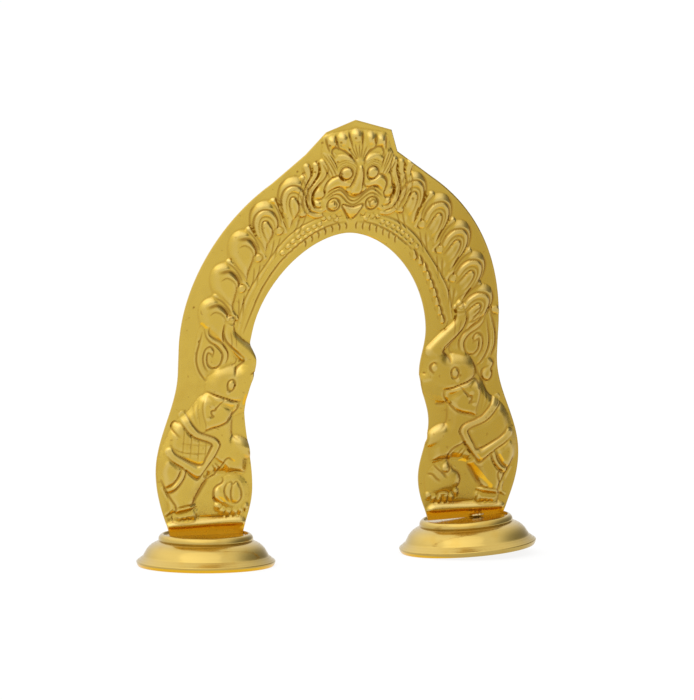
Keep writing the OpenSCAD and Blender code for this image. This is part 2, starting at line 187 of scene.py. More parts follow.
# The rolled edges: where the roll starts, the inner edge's share of it, and the drop that it needs
ROLL_FROM = 0.97
INNER_ROLL = 0.6
ROLL_DROP = 1.05

# Strokes: the fillet between forms, the least rise that counts, and a groove's reach and ends
FILLET = 0.8
LEAST_RISE = 0.02
GROOVE_REACH = 1.2
GROOVE_END, GROOVE_LEAST = 4, 0.15
FLAP_END = 6

# What the sheet's material reads: notch of full tarnish and painted shade in the lines, range of the
# crests, pull of the painted warm reflection, and the back
FULL_STAIN_AND_SHADE = 0.5
CREST_RANGE = 0.6
REFLECTION_PULL = 0.25
BACK_FORM = (0.5, 0.42, 0.0)

# The relief fades in above the feet
FADE_FROM, FADE_TO = 1.4, 2.4

# Places on the relief: plumes by their tips, the mask's eye, brow and curl, and stray dark pits
PLUME_TIPS = ((67.1, 106.8), (61.7, 122.5), (53.1, 137.3), (42.3, 150.2), (28.6, 160.6))
PLUME_TURN, PLUME_STEP = 157, 6.4
PLUME_KNOB = (-7.4, 14.8)
EYE = (6.25, 161.3)
BROW = 165
CURL = (9.1, 147)
PIT_WIDTH, PIT_DEPTH = 1, 0.6
PITS = (
    (-16.8, 166.8), (-17.6, 162.2), (-22.8, 161.6), (-25.6, 162.6), (-7.4, 166.6), (-5.4, 161.2),
    (0.4, 177.2), (-14.6, 175.2), (-11.6, 174), (-6.4, 175.4), (-1.8, 172), (1.2, 168), (-20.2, 154.6),
    (18.6, 161.2), (23, 159.8), (8.6, 147.8), (-7.8, 147.6), (28.4, 152.8), (29.2, 148.6), (42.2, 124.4),
    (-71.4, 103), (-68.4, 87.4), (-48.8, 77.6), (-51.6, 67), (39.4, 67.6), (56.4, 66))

# Streaks of painted warm reflection, where the light catches an underside: width and points
REFLECTION_STREAKS = {
    RIGHT: (
        (2.6, (65.2, 22.4), (68.4, 19.2), (71.6, 15.8), (73.6, 13.9)),
        (1.4, (58, 26), (61, 25.8), (64.6, 23.8)),
        (1.2, (46, 53), (49, 52.7), (52, 53.2)),
        (1, (55.4, 49.4), (58, 49.2), (60.6, 48.8)),
        (1.4, (56.4, 29.2), (57.8, 28.8)),
        (1.4, (70, 6.8), (72, 6.2), (74.6, 6.6)),
        (1.2, (77.2, 28.2), (79, 25.4)),
        (0.9, (43.2, 20.4), (45, 20.2), (46.6, 18.6)),
        (1, (66.4, 28.8), (69.4, 25.6))),
    LEFT: (
        (1.8, (50.6, 32.4), (53.4, 33.2)),
        (1.6, (62.6, 24), (65.4, 19.6), (68.2, 14.8)),
        (1.8, (49.4, 13.6), (53, 14), (57.6, 16)),
        (1.4, (60.6, 7.2), (64.8, 7.4)),
        (1.3, (68.4, 12.8), (72, 11.4), (76, 10.8)),
        (2, (69.4, 6.2), (72.6, 6)),
        (1.6, (79.2, 23.4), (80.2, 22)),
        (1, (63.4, 33.4), (68, 32.6), (73, 34.6)),
        (1.2, (66.6, 94), (68.6, 95.6)),
        (1.4, (37.6, 149), (39.6, 150)),
        (1.2, (50, 136.8), (52.4, 137.4)),
        (1.2, (46.4, 62.6), (46.8, 58.4)))}

# A base's outline: shares of the collar's height, insets of its rim and neck, and points (radius, height)
COLLAR_ROUND, COLLAR_FALL, NECK_FALL = 0.7, 0.95, 1.1
RIM_INSET, RIM_DROP, NECK_INSET = 0.2 * MM, 0.1 * MM, 0.4 * MM
DOME_FOOT = np.array((28, 4.4)) * MM
DOME_BULGE = 1.2 * MM
LIP_TOP = np.array(((29.1, 3.5), (30.2, 2.65))) * MM
LIP_LEVEL = 2 * MM
LIP_UNDER = np.array((30.7, 1)) * MM
COLLAR_STEPS, DOME_STEPS, BASE_COLUMNS = 13, 17, 160

# A run of solder: its rows and columns, and the waves and depth of its two kinds of lump
SOLDER_ROWS, SOLDER_COLUMNS = 41, 24
LONG_WAVES, LONG_LUMP = 11, 0.09
SHORT_WAVES, SHORT_LUMP = 23, 0.05

# Meshes: distance at which points are welded, and angle from which an edge is sharp
WELD = 1e-6
SHARP = np.radians(60)

# Numbers of the colour sockets on a mix node
MIX_START, MIX_END, MIX_RESULT = 6, 7, 2

# The stage: picture shift in pixels, lamp, floor, and the room's light by axis, ends and strengths
SENSOR = 36
PICTURE_SIDE, SHIFT_ACROSS, SHIFT_UP = 700, 9.2, -13.8
CLIP_END = 100
LAMP_PLACE, LAMP_AIM = Vector((-0.7, -0.9, 1.7)), Vector((0, 0, 0.08))
LAMP_SIZE, LAMP_POWER = 2.4, 5
FLOOR_HALF = 8.0
FLOOR_WHITE = 0.88
ROOM_LIGHT = (("Z", 0.1, 0.7, 0.95, 1.35), ("X", 0.4, 0.95, 1.0, 0.3), ("X", 0.2, -0.7, 1.0, 1.25))


def mix(a, b, f):
    """Straight blend from a to b."""
    return a + (b - a) * f


def share(v, a, b):
    """How far v lies from a to b, held between 0 and 1."""
    return np.clip((v - a) / (b - a), 0, 1)


def ease(a, b, f):
    """Blend from a to b by a half cosine, level at both ends."""
    return mix(a, b, (1 - np.cos(np.pi * f)) / 2)


def leg_edge(s, knots):
    """A leg's edge: a quarter sine out of the foot, then half cosines from knot to knot."""
    (s0, x0), (s1, x1) = knots[:2]
    x = mix(x0, x1, np.sin(np.pi / 2 * share(s, s0, s1)))
    for (sa, xa), (sb, xb) in zip(knots[1:], knots[2:]):
        x = np.where(s > sa, ease(xa, xb, share(s, sa, sb)), x)
    return x


def opening_radius(size, a):
    """The opening's superellipse: distance from the springing centre at angle a."""
    n = size.opening_power
    across = np.abs(np.cos(a)) / (size.opening_width / MM)
    return (across ** n + (np.sin(a) / (size.opening_rise / MM)) ** n) ** (-1 / n)


def chord_radius(a, p, q):
    """Distance from the springing centre at angle a to the straight line from p to q."""
    p, q = np.array(p), np.array(q)
    d = q - p
    return (p[0] * d[1] - p[1] * d[0]) / (np.cos(a) * d[1] - np.sin(a) * d[0])


def outer_radius(size, side, a):
    """The outer edge: an arc about a point past the axis, then chords to the neck, corner and peak."""
    offset = size.arc_offset / MM
    big = size.shoulder_width / MM + offset
    arc = np.sqrt(big ** 2 - (offset * np.sin(a)) ** 2) - offset * np.cos(a)
    tip = np.sqrt(big ** 2 - (offset * np.sin(ARC_END)) ** 2) - offset * np.cos(ARC_END)
    tip = (tip * np.cos(ARC_END), tip * np.sin(ARC_END))
    neck, corner = NECK[side], CORNER[side]
    return np.select(
        [a <= ARC_END, a <= bearing(neck), a <= bearing(corner)],
        [arc, chord_radius(a, tip, neck), chord_radius(a, neck, corner)],
        chord_radius(a, corner, PEAK))


def bearing(p):
    """Angle of a point above the springing."""
    return np.arctan2(p[1], p[0])


def seat(bases, side):
    """A base's dished top: its middle and its height in millimetres, and its slope along the arch."""
    top = (bases.height - bases.dish_depth) / MM
    if side == LEFT:
        return -bases.spacing / MM, top, 0.0
    lift = bases.rest_radius / MM * np.sin(bases.cant)
    middle = bases.spacing / MM - top * np.sin(bases.cant)
    return middle, lift + top * np.cos(bases.cant), np.tan(bases.cant)


def sheet_level(size, bases):
    """Height of the flat sheet's origin once it stands, so that the left foot rests on its base."""
    middle = (FOOT_INNER + FOOT_OUTER) / 2
    seat_height = (bases.height - bases.dish_depth + size.foot_drop) / MM
    return seat_height + middle * np.sin(size.tilt) * np.cos(size.lean)


def foot_line(size, bases, side, x):
    """The cut bottom edge: where the leaning sheet meets the base, with a wedge cut from the right."""
    middle, top, slope = seat(bases, side)
    rise = (top - sheet_level(size, bases) + (x * np.cos(size.tilt) - middle) * slope
            - x * np.sin(size.tilt) * np.cos(size.lean))
    s = rise / (np.cos(size.tilt) * np.cos(size.lean) + np.sin(size.tilt) * slope)
    if side == RIGHT:
        touch = mix(FOOT_INNER, FOOT_OUTER, RIGHT_CLEAR)
        s = s + size.right_gap / MM * np.clip((touch - x) / (touch - FOOT_INNER), 0, None)
    return s


def drift(size, s, f):
    """Sideways offset of the cut outline: a squared cosine bump about mid height, and a shift outside."""
    bump = np.cos(np.pi / 2 * np.clip(np.abs(s - SWAY_HEIGHT) / SWAY_REACH, 0, 1)) ** 2
    return size.outline_shift / MM * f - size.cut_sway / MM * bump


def leg_points(size, bases, side, f):
    """Rows of flat points up one leg; f runs from the opening to the outer edge."""
    spring = size.spring_height / MM
    low = np.linspace(0, FOOT_MARGIN, MARGIN_ROWS, endpoint=False)
    s = np.concatenate([low, np.linspace(FOOT_MARGIN, spring, LEG_ROWS)])[:, None]
    x = side * mix(leg_edge(s, LEG_INNER[side]), leg_edge(s, LEG_OUTER), f) + drift(size, s, f)
    trimmed = mix(foot_line(size, bases, side, x), FOOT_MARGIN, s / FOOT_MARGIN)
    return x, np.where(s < FOOT_MARGIN, trimmed, s)


def arch_points(size, side, f):
    """Rows of flat points round half the arch, from the springing up to the axis."""
    stops = [0, ARC_END, bearing(NECK[side]), bearing(CORNER[side]), np.pi / 2]
    counts = (ARC_ROWS, FLARE_ROWS, SHOULDER_ROWS, PEAK_ROWS)
    stretches = [np.linspace(p, q, n + 1)[1:] for p, q, n in zip(stops, stops[1:], counts)]
    a = np.concatenate(stretches)[:, None]
    r = mix(opening_radius(size, a), outer_radius(size, side, a), f)
    s = size.spring_height / MM + r * np.sin(a)
    return side * r * np.cos(a) + drift(size, s, f), s


def flat_sheet(size, bases, f):
    """The whole flat sheet as two arrays, across and up: left leg, arch, right leg."""
    halves = []
    for side in (LEFT, RIGHT):
        leg, arch = leg_points(size, bases, side, f), arch_points(size, side, f)
        halves.append([np.concatenate([leg[k], arch[k]]) for k in (0, 1)])
    (xl, sl), (xr, sr) = halves
    return np.concatenate([xl, xr[-2::-1]]), np.concatenate([sl, sr[-2::-1]])


def stand(size, bases, x, s, h):
    """Stands flat points up: tilts them, leans them forward, bows them back and sets them on the bases."""
    along = x * np.cos(size.tilt) - s * np.sin(size.tilt)
    up = s * np.cos(size.tilt) + x * np.sin(size.tilt)
    q = s / (size.spring_height / MM + PEAK[1])
    bow = size.bow / MM * 4 * q * (1 - q)
    y = size.foot_back / MM - up * np.sin(size.lean) + bow - h * np.cos(size.lean)
    z = sheet_level(size, bases) + up * np.cos(size.lean) - h * np.sin(size.lean)
    return np.stack([along, y, z], axis=-1) * MM


def curve(points, closed=False):
    """A Catmull-Rom curve through given points, as a polyline."""
    p = np.array(points, float)
    if len(p) == 2:
        return p
    if closed:
        p = np.concatenate([p[-1:], p, p[:2]])
    else:
        p = np.concatenate([2 * p[:1] - p[1:2], p, 2 * p[-1:] - p[-2:-1]])
    a, b, c, d = p[:-3, None], p[1:-2, None], p[2:-1, None], p[3:, None]
    t = np.linspace(0, 1, CURVE_STEPS, endpoint=False)[None, :, None]
    square, cube = 2 * a - 5 * b + 4 * c - d, 3 * b - a - 3 * c + d
    q = 0.5 * (2 * b + (c - a) * t + square * t ** 2 + cube * t ** 3)
    return np.concatenate([q.reshape(-1, 2), p[-2:-1]])


def measure(points, line):
    """Distance of each point from a polyline, and how far along it the nearest place lies."""
    a, run = line[:-1], np.diff(line, axis=0)
    gap = points[:, None] - a
    f = np.clip((gap * run).sum(2) / (run ** 2).sum(1), 0, 1)
    d2 = ((gap - f[..., None] * run) ** 2).sum(2)
    k = d2.argmin(1)
    row = np.arange(len(points))
    return np.sqrt(d2[row, k]), (k + f[row, k]) / len(run)


def within(points, outline):
    """Whether each point lies inside a closed polyline, by counting the edges to its right."""
    a, b = outline[:-1], outline[1:]
    x, y = points[:, :1], points[:, 1:]
    spans = (a[:, 1] > y) != (b[:, 1] > y)
    height = np.where(b[:, 1] == a[:, 1], 1, b[:, 1] - a[:, 1])
    return (spans & (x < a[:, 0] + (y - a[:, 1]) * (b[:, 0] - a[:, 0]) / height)).sum(1) % 2 == 1


def round_top(d, radius, power=0.5):
    """A round section: (1 - (d / radius)^2)^power, and 0 beyond the radius."""
    return np.clip(1 - (d / radius) ** 2, 0, None) ** power


def shoulder(d, edge):
    """A quarter sine from 0 at the rim to 1 at a distance of edge from it."""
    return np.sin(np.pi / 2 * np.clip(d / edge, 0, 1))


def notch(d, width):
    """A smooth notch: exp(-(2 d / width)^2)."""
    return np.exp(-((2 * d / width) ** 2))


def run_out(f, rate, least=0):
    """How full a stroke is at f along it: a square root that rises from its two ends."""
    return np.sqrt(np.clip(rate * np.minimum(f, 1 - f) + least, 0, 1))


class Relief:
    """Three layers over the flat sheet: height in millimetres, tarnish and painted shade in the lines, and
    painted warm reflection.

    They are built up stroke by stroke. A stroke is a curve through a few points, and its height depends on
    the distance d from the curve.
    """

    def __init__(self, across, up, layers, where=True):
        self.points = np.stack([across, up], axis=1)
        self.layers = layers
        self.height, self.stain, self.warm_reflection = layers
        self.where = where & np.ones(len(across), bool)

    def turned(self, place, turn):
        """The same layers drawn in axes of their own, about a place and turned by degrees."""
        c, n = np.cos(np.radians(turn)), np.sin(np.radians(turn))
        d = self.points - place
        across, up = d[:, 0] * c + d[:, 1] * n, d[:, 1] * c - d[:, 0] * n
        return Relief(across, up, self.layers, self.where)

    def near(self, line, reach):
        """Numbers of the points inside the line's box, grown by reach."""
        p = self.points
        inside = (p > line.min(0) - reach) & (p < line.max(0) + reach)
        return np.flatnonzero(inside.all(1) & self.where)

    def along(self, points, reach, closed=False):
        """Numbers of the points near a curve, their distances from it, and how far along it they lie."""
        line = curve(points, closed)
        at = self.near(line, reach)
        return at, *measure(self.points[at], line)

    def about(self, x, s, reach):
        """Numbers of the points near a place, and their distances from it."""
        at = self.near(np.array([[x, s]]), reach)
        return at, np.hypot(*(self.points[at] - (x, s)).T)

    def inside(self, points):
        """Numbers of the points inside a closed curve, and their distances from it."""
        line = curve(points, True)
        at = self.near(line, 0)
        at = at[within(self.points[at], line)]
        return at, measure(self.points[at], line)[0]

    def swell(self, at, value, soft=FILLET):
        """Raises the points to at least value, with a soft fillet where two forms meet."""
        h = self.height[at]
        fillet = np.clip(soft - np.abs(h - value), 0, None) ** 2 / (4 * soft)
        self.height[at] = np.where(value > LEAST_RISE, np.maximum(h, value) + fillet, h)

    def cut(self, at, depth):
        """Lowers the points, and darkens them by the depth: tarnish and painted shade."""
        self.height[at] -= depth
        self.stain[at] = np.maximum(self.stain[at], np.clip(depth / FULL_STAIN_AND_SHADE, 0, 1))

    def dome(self, x, s, long, wide, turn, rise, power):
        """An elliptical dome: rise * (1 - u^2 - w^2)^power in its own turned axes."""
        own = self.turned((x, s), turn)
        at = own.near(np.zeros((1, 2)), max(long, wide))
        self.swell(at, rise * round_top(np.hypot(*(own.points[at] / (long, wide)).T), 1, power))

    def limb(self, points, width, rise, end=None, sink=None, power=0.6):
        """A rounded limb: rise * (1 - (d / half width)^2)^power; width and rise run to end and sink."""
        end = width if end is None else end
        sink = rise if sink is None else sink
        at, d, f = self.along(points, max(width, end) / 2)
        self.swell(at, mix(rise, sink, f) * round_top(d, mix(width, end, f) / 2, power))

    def mass(self, points, rise, edge, soft=FILLET):
        """A body with a quarter sine shoulder, merged softly: rise * sin(90 deg * d / edge)."""
        at, d = self.inside(points)
        self.swell(at, rise * shoulder(d, edge), soft)

    def pad(self, points, rise, edge):
        """A patch added on top: rise * sin(90 deg * d / edge)."""
        at, d = self.inside(points)
        self.height[at] += rise * shoulder(d, edge)

    def ridge(self, points, width, rise):
        """A thin round ridge added on top: rise * sqrt(1 - (d / half width)^2)."""
        at, d, f = self.along(points, width / 2)
        self.height[at] += rise * round_top(d, width / 2)

    def band(self, points, width, rise, edge):
        """A flat strip added on top, with smooth edges: rise * sin(90 deg * (half width - d) / edge)."""
        at, d, f = self.along(points, width / 2)
        self.height[at] += rise * shoulder(width / 2 - d, edge)

    def ball(self, x, s, radius, rise):
        """A round boss added on top: rise * sqrt(1 - (d / radius)^2)."""
        at, d = self.about(x, s, radius)
        self.height[at] += rise * round_top(d, radius)

    def flap(self, points, rise, width, steep):
        """An overlapping edge: the left of the curve is raised, and falls off with (1 - d / width)^2."""
        line = curve(points)
        at, d, f = self.along(points, width)
        k = np.minimum((f * (len(line) - 1)).astype(int), len(line) - 2)
        run = np.diff(line, axis=0)[k]
        gap = self.points[at] - line[k]
        left = run[:, 0] * gap[:, 1] - run[:, 1] * gap[:, 0] > 0
        fall = np.where(left, np.clip(1 - d / width, 0, 1) ** 2, np.clip(1 - d / steep, 0, 1))
        self.height[at] += rise * run_out(f, FLAP_END) * fall

    def groove(self, points, width=0.9, depth=0.5, closed=False):
        """A smooth notch along a curve: depth * exp(-(2 d / width)^2), easing out at open ends."""
        at, d, f = self.along(points, GROOVE_REACH * width, closed)
        full = 1 if closed else run_out(f, GROOVE_END, GROOVE_LEAST)
        self.cut(at, depth * full * notch(d, width))

    def grooves(self, width, depth, *lines):
        """Grooves of one width and depth along several curves."""
        for line in lines:
            self.groove(line, width, depth)

    def ring(self, x, s, radius, width, depth):
        """A round groove about a place, or a pit where the radius is 0."""
        at, d = self.about(x, s, radius + GROOVE_REACH * width)
        self.cut(at, depth * notch(d - radius, width))

    def reflection_streak(self, points, width):
        """A streak of painted warm reflection along a curve: exp(-(2 d / width)^4)."""
        at, d, f = self.along(points, width)
        self.warm_reflection[at] = np.maximum(self.warm_reflection[at], np.exp(-((2 * d / width) ** 4)))


def arc(x, s, radius, start, end):
    """Seven points along a circular arc, in degrees anticlockwise from across."""
    a = np.radians(np.linspace(start, end, 7))
    return np.stack([x + radius * np.cos(a), s + radius * np.sin(a)], axis=1)


def carve_elephant(r, right):
    """The rearing elephant: body, knee, head, jaw, trunk, ear and eyes, drawn on |across|."""
    r.mass([(51.3, 53.5), (51.3, 48), (51, 44), (49.4, 41.3), (46.3, 39.6), (44.4, 37), (43.8, 32),
            (44.4, 27), (45.6, 25.6), (50, 26), (53, 26.6), (57, 26.6), (60, 25.8), (64.3, 22.8),
            (67.5, 17), (68.4, 9.5), (78.4, 8.5), (81, 18), (84, 22.5), (86.2, 28), (85.6, 35), (83.3, 42),
            (80.5, 48), (77, 52.5), (72.8, 55.6), (70, 59), (66, 63), (58, 62), (53, 58)], 2.2, 4.4)
    r.dome(47.6, 38, 7, 4.6, 35, 2.8, 0.8)
    r.mass([(37, 63), (38.5, 70), (38.8, 76), (41, 80), (46, 80.5), (48.6, 77.6), (50.2, 75.2),
            (52.5, 75.8), (57.5, 75.9), (61.8, 74), (64.3, 70), (64.8, 66), (64, 62), (62, 58), (55, 56),
            (49, 57), (44, 58)], 2.8, 5.6)
    r.mass([(36, 66), (38, 60), (43, 55.5), (48.5, 53.4), (51.7, 52.9), (53, 57), (53, 63), (46, 68)],
           1.9, 6)
    r.limb([(43, 77), (47.5, 81.8), (51.3, 85.2), (54.4, 88.5), (55.8, 92), (55.6, 96)], 8, 2.6, 5.4, 1.7)
    r.grooves(1.0, 0.5,
              [(48.2, 79.4), (48, 77.2), (49.6, 75.4), (51, 74), (51.5, 71.8)],
              [(48.2, 79.2), (51, 81.6), (54, 84.2), (56.8, 87.4), (58.2, 91), (57.8, 94.6)])
    for x, s, radius, rise in ((54.6, 98.2, 1.8, 0.49), (52.4, 97, 1.2, 0.35), (56.9, 97.4, 1.2, 0.35)):
        r.ball(x, s, radius, rise)
        r.groove(arc(x, s, radius, 160, 350), 0.7, 0.2)
    r.groove([(51.6, 95.6), (54, 94.9), (57.2, 95.6)], 0.8, 0.3)
    r.pad([(49.6, 59.2), (52.5, 59.9), (55.5, 61), (60.3, 62.6), (64, 64), (66.6, 61), (67, 56), (66.2, 51),
           (65, 47), (62, 47.9), (59, 48.5), (55.6, 49.8), (53.5, 51.6), (51.3, 54.3), (49.9, 56.2)],
          0.8, 1.6)
    r.groove([(48.8, 59.2), (52.5, 60), (55.5, 61.2), (60.4, 62.8), (64, 64.4)], 1.0, 0.6)
    r.groove([(48.9, 59), (49.3, 56.6), (51, 54), (53.2, 51.4), (55.5, 49.5), (59, 48.2), (62.5, 47.4),
              (65.8, 46)])
    r.groove([(56.4, 60.8), (58.8, 58.4), (60.2, 57), (60.4, 56.3), (62.2, 56), (62.2, 54.4), (61.2, 53.2),
              (63.8, 53.4)], 0.9, 0.55)
    r.ball(62.2, 57.6, 1.4, 0.3)
    r.ball(63.6, 52.4, 1.2, 0.3)
    r.groove([(65.2, 62), (66.4, 58.4), (66, 54), (64.8, 50), (64.6, 47)], 0.8, 0.3)
    r.grooves(0.8, 0.2,
              [(67.6, 60), (68.3, 56.4), (67.6, 52), (67, 48)],
              [(69.6, 58.8), (70.2, 55.6), (69.4, 51.8), (68, 48.6)])
    right.groove([(61.2, 74.3), (62.8, 71.8), (64.4, 68.8), (66, 65.6), (68, 62.8), (69.4, 60.2),
                  (70.3, 57.8), (72, 55.6), (73.6, 54.8)], 1.0, 0.35)
    r.groove([(44.6, 71.9), (42.9, 72.3), (41.6, 70.9), (41.9, 69), (43.2, 67.6)], 1.0, 0.6)
    r.ball(43.5, 69.9, 1.4, 0.35)
    r.groove([(53, 69.8), (54.7, 69.1), (55.3, 66.9), (54.6, 65), (53, 64.8), (51.9, 66.2), (51.8, 68.4)],
             0.9, 0.5, True)
    r.ball(53.5, 67.3, 1.5, 0.35)
    r.ball(54.9, 63.9, 1.1, 0.3)


def carve_saddle(r, left):
    """Saddle cloth: a band that turns two corners about a panel, quilted where the left shows it."""
    r.pad([(61.4, 40.2), (64, 42), (69, 43.8), (73, 46.8), (76.6, 50.8), (79, 50.3), (80.6, 46),
           (80.4, 41.5), (79, 38.4), (74.5, 35.4), (70, 33.2), (66.8, 31.4), (64.6, 33.4)], 0.45, 3)
    r.band([(75.3, 54.4), (73.4, 50.6), (70.4, 46.8), (67.4, 44.7), (61.6, 42.4), (59.6, 40.4), (60, 38.2),
            (62.8, 33.6), (66.2, 29), (68.2, 28.2), (74.6, 32.3), (79.6, 35.7), (81.4, 38)], 3.9, 0.5, 0.7)
    r.groove([(73.6, 55.2), (71.5, 51.3), (68.4, 47.4), (65.8, 45.7), (59.6, 43.2), (57.5, 40.4),
              (58, 38.4), (61.4, 32.2), (65.4, 27.2), (68, 24.8), (74.2, 29.8), (79.5, 33.2), (82, 36)],
             0.9, 0.6)
    r.groove([(76.8, 51.4), (75, 49.5), (72.3, 46), (69, 43.6), (63.5, 41.6), (61.4, 40.2), (61.8, 38.6),
              (64, 34.6), (66.8, 31.2), (75, 34.9), (79, 37.9), (80.4, 41)], 0.9, 0.55)
    left.groove([(76.6, 44.6), (79.4, 47.4), (80, 49.8), (78.6, 51.4), (76.6, 50.6)])
    for x, low, high in ((64.6, 34.6, 42.2), (68, 32.6, 43.2), (71.6, 34.2, 45.4), (75.2, 36, 48.6)):
        left.groove([(x, low), (x - 0.6, high)], 0.7, 0.3)
    left.groove([(63.4, 36.4), (70, 36.8), (76, 37.8), (80, 40)], 0.7, 0.35)
    left.groove([(62.6, 40.2), (70, 40.8), (77, 42)], 0.7, 0.25)


def carve_legs(r, right, left):
    """Edges of the legs, the strands under the belly, the tail, the hind foot and the ledge."""
    r.pad([(60.5, 34.6), (57, 33), (54.4, 31.2), (53.4, 29), (54.2, 26.4), (58, 26), (62.5, 24.2),
           (65.5, 27.5)], -0.8, 1.4)
    r.flap([(58, 26.4), (60, 25.8), (64.3, 22.9), (67.6, 17), (71, 12.8)], 0.6, 2.6, 0.5)
    r.groove([(62.4, 24.4), (64.6, 21), (67, 17), (69.4, 13.6)], 2.2, 0.5)
    right.groove([(45.6, 53.2), (48.6, 52.8), (52, 53.4)], 1.3, 0.45)
    right.groove([(60.4, 34.7), (57.6, 33.3), (55, 32.2), (53.2, 30.6), (52.3, 28.4), (52.8, 26.6),
                  (53.8, 24), (55.2, 22)], 1.0, 0.6)
    left.groove([(51, 32.4), (53, 33.8), (54.8, 32.9), (55.8, 30.8), (57.4, 28.2), (59, 26), (60.9, 25),
                 (62.8, 23.9)], 0.9, 0.55)
    r.grooves(0.8, 0.4,
              [(57.4, 28.6), (58, 30.2), (59.6, 32)],
              [(59.2, 26.8), (59.6, 29.2), (60.8, 31.2)],
              [(62.6, 24.8), (62.4, 26.8), (63.2, 28.4)])
    r.groove([(44.6, 26.4), (47.4, 27.2), (50.2, 27.4), (52.6, 26.6)], 0.9, 0.45)
    r.groove([(51.4, 52.6), (51.5, 46.5), (50.8, 43.4), (48.6, 41.4)], 0.9, 0.3)
    r.pad([(75.6, 29.6), (78, 31.4), (82, 34.5), (84.6, 30), (84, 25.5), (81.8, 21.4), (78, 24.2)],
          0.6, 2.2)
    r.ridge([(74, 29.4), (75.2, 25.5), (78, 22), (81.2, 19.9)], 1.7, 0.4)
    r.grooves(0.9, 0.6,
              [(75.5, 29.4), (76.8, 26), (79.3, 22.8), (81.8, 21.2)],
              [(73, 28.8), (74.2, 25), (77, 21), (80.4, 18.4)])
    r.groove([(84.4, 25.4), (82, 20.4), (79.4, 16), (77.4, 12.8), (77.4, 10.6), (79.8, 8.4)], 0.9, 0.55)
    r.ridge([(83.8, 21.4), (81.4, 16.6), (79.4, 13.4), (79.6, 10.6), (81.4, 9)], 1.5, 0.35)
    right.groove([(79.6, 20.4), (77.4, 20), (76.9, 18), (78, 15), (78.2, 12.6)], 0.9, 0.5)
    r.mass([(66.9, 10.9), (66, 7.6), (66.9, 5.2), (72, 4.1), (76, 4.4), (77.8, 6.6), (77.8, 9.2),
            (72, 11.2)], 1.5, 3.6)
    r.ridge([(67.7, 12.4), (71, 11.8), (77.6, 10.6)], 1.6, 0.2)
    r.grooves(0.8, 0.35,
              [(67.2, 13.4), (71, 12.8), (77.6, 11.6)],
              [(67.3, 11.4), (71, 10.8), (77.8, 9.5)],
              [(68.4, 10.4), (67.2, 7.6), (67.8, 5.4), (72, 4.7), (77, 5), (78.4, 7.2), (78.2, 9.2)])
    r.groove([(69, 7.2), (70.2, 6.1), (71.4, 7), (72.6, 5.9), (73.8, 6.7), (75, 5.7)], 0.8, 0.5)
    r.mass([(44.5, 2.3), (60, 2.1), (79.4, 2.1), (79, 5.6), (62, 6.2), (46.5, 6.4)], 1.8, 2.1)
    r.groove([(47, 6.9), (56, 6.7), (65.4, 6.2)], 0.8, 0.3)


def carve_lotus(r, right, left):
    """The lotus under the raised foreleg: a bud of petals over a row of scallops."""
    r.dome(50.4, 17, 9, 8.2, 80, 1.9, 0.9)
    r.dome(56.8, 16.6, 3.6, 2.6, 70, 1.5, 0.8)
    for x, s in ((44, 10.4), (46.4, 9.2), (49.2, 8.8), (52.2, 8.8), (55, 9.4), (57, 11.4)):
        r.dome(x, s, 1.8, 2.2, 0, 1.2, 0.8)
        r.groove(arc(x, s + 0.5, 1.7, 195, 345), 0.8, 0.3)
    r.groove([(54.8, 24.3), (55.4, 22.2), (57.8, 20.6), (59.2, 18), (58.8, 14.6), (57.4, 13)], 0.9, 0.55)
    left.grooves(0.9, 0.5,
                 [(47.9, 21.6), (46.6, 18.6), (46.2, 16), (46.8, 14), (48.4, 12.8), (50.6, 12.8)],
                 [(50.8, 21.6), (51.5, 18), (51.3, 15), (50.6, 13)],
                 [(53.1, 22.2), (54.4, 19.6), (54.3, 17), (53.3, 14.8), (51.8, 13.3)])
    left.groove([(46.9, 20.8), (48.8, 22.6), (50.3, 21.4), (51.4, 22.6), (52.9, 21.8)], 0.7, 0.4)
    left.pad([(54.8, 13.8), (58.6, 16.6), (58, 14.6), (56, 13)], 0.5, 0.6)
    right.groove([(43.2, 20.6), (45.4, 20.2), (47.4, 18.2), (48.9, 17.1)], 0.9, 0.55)
    right.groove([(46, 24.6), (48, 22.4), (50.4, 20.6), (52.2, 18.6)], 0.9, 0.5)
    right.ball(51.6, 23, 1.7, 0.55)
    right.groove(arc(51.8, 22.9, 2.1, 200, 420), 0.8, 0.45)
    right.pad([(48.4, 9.4), (48.6, 11.5), (51, 11.9), (53.2, 11.5), (53.4, 9.4)], 0.3, 0.5)
    right.groove([(48.3, 9.4), (48.5, 11.6), (51, 12), (53.3, 11.6), (53.5, 9.4)], 0.8, 0.45)
    right.groove([(55, 12.2), (56.2, 10.6), (56, 9)], 0.8, 0.4)


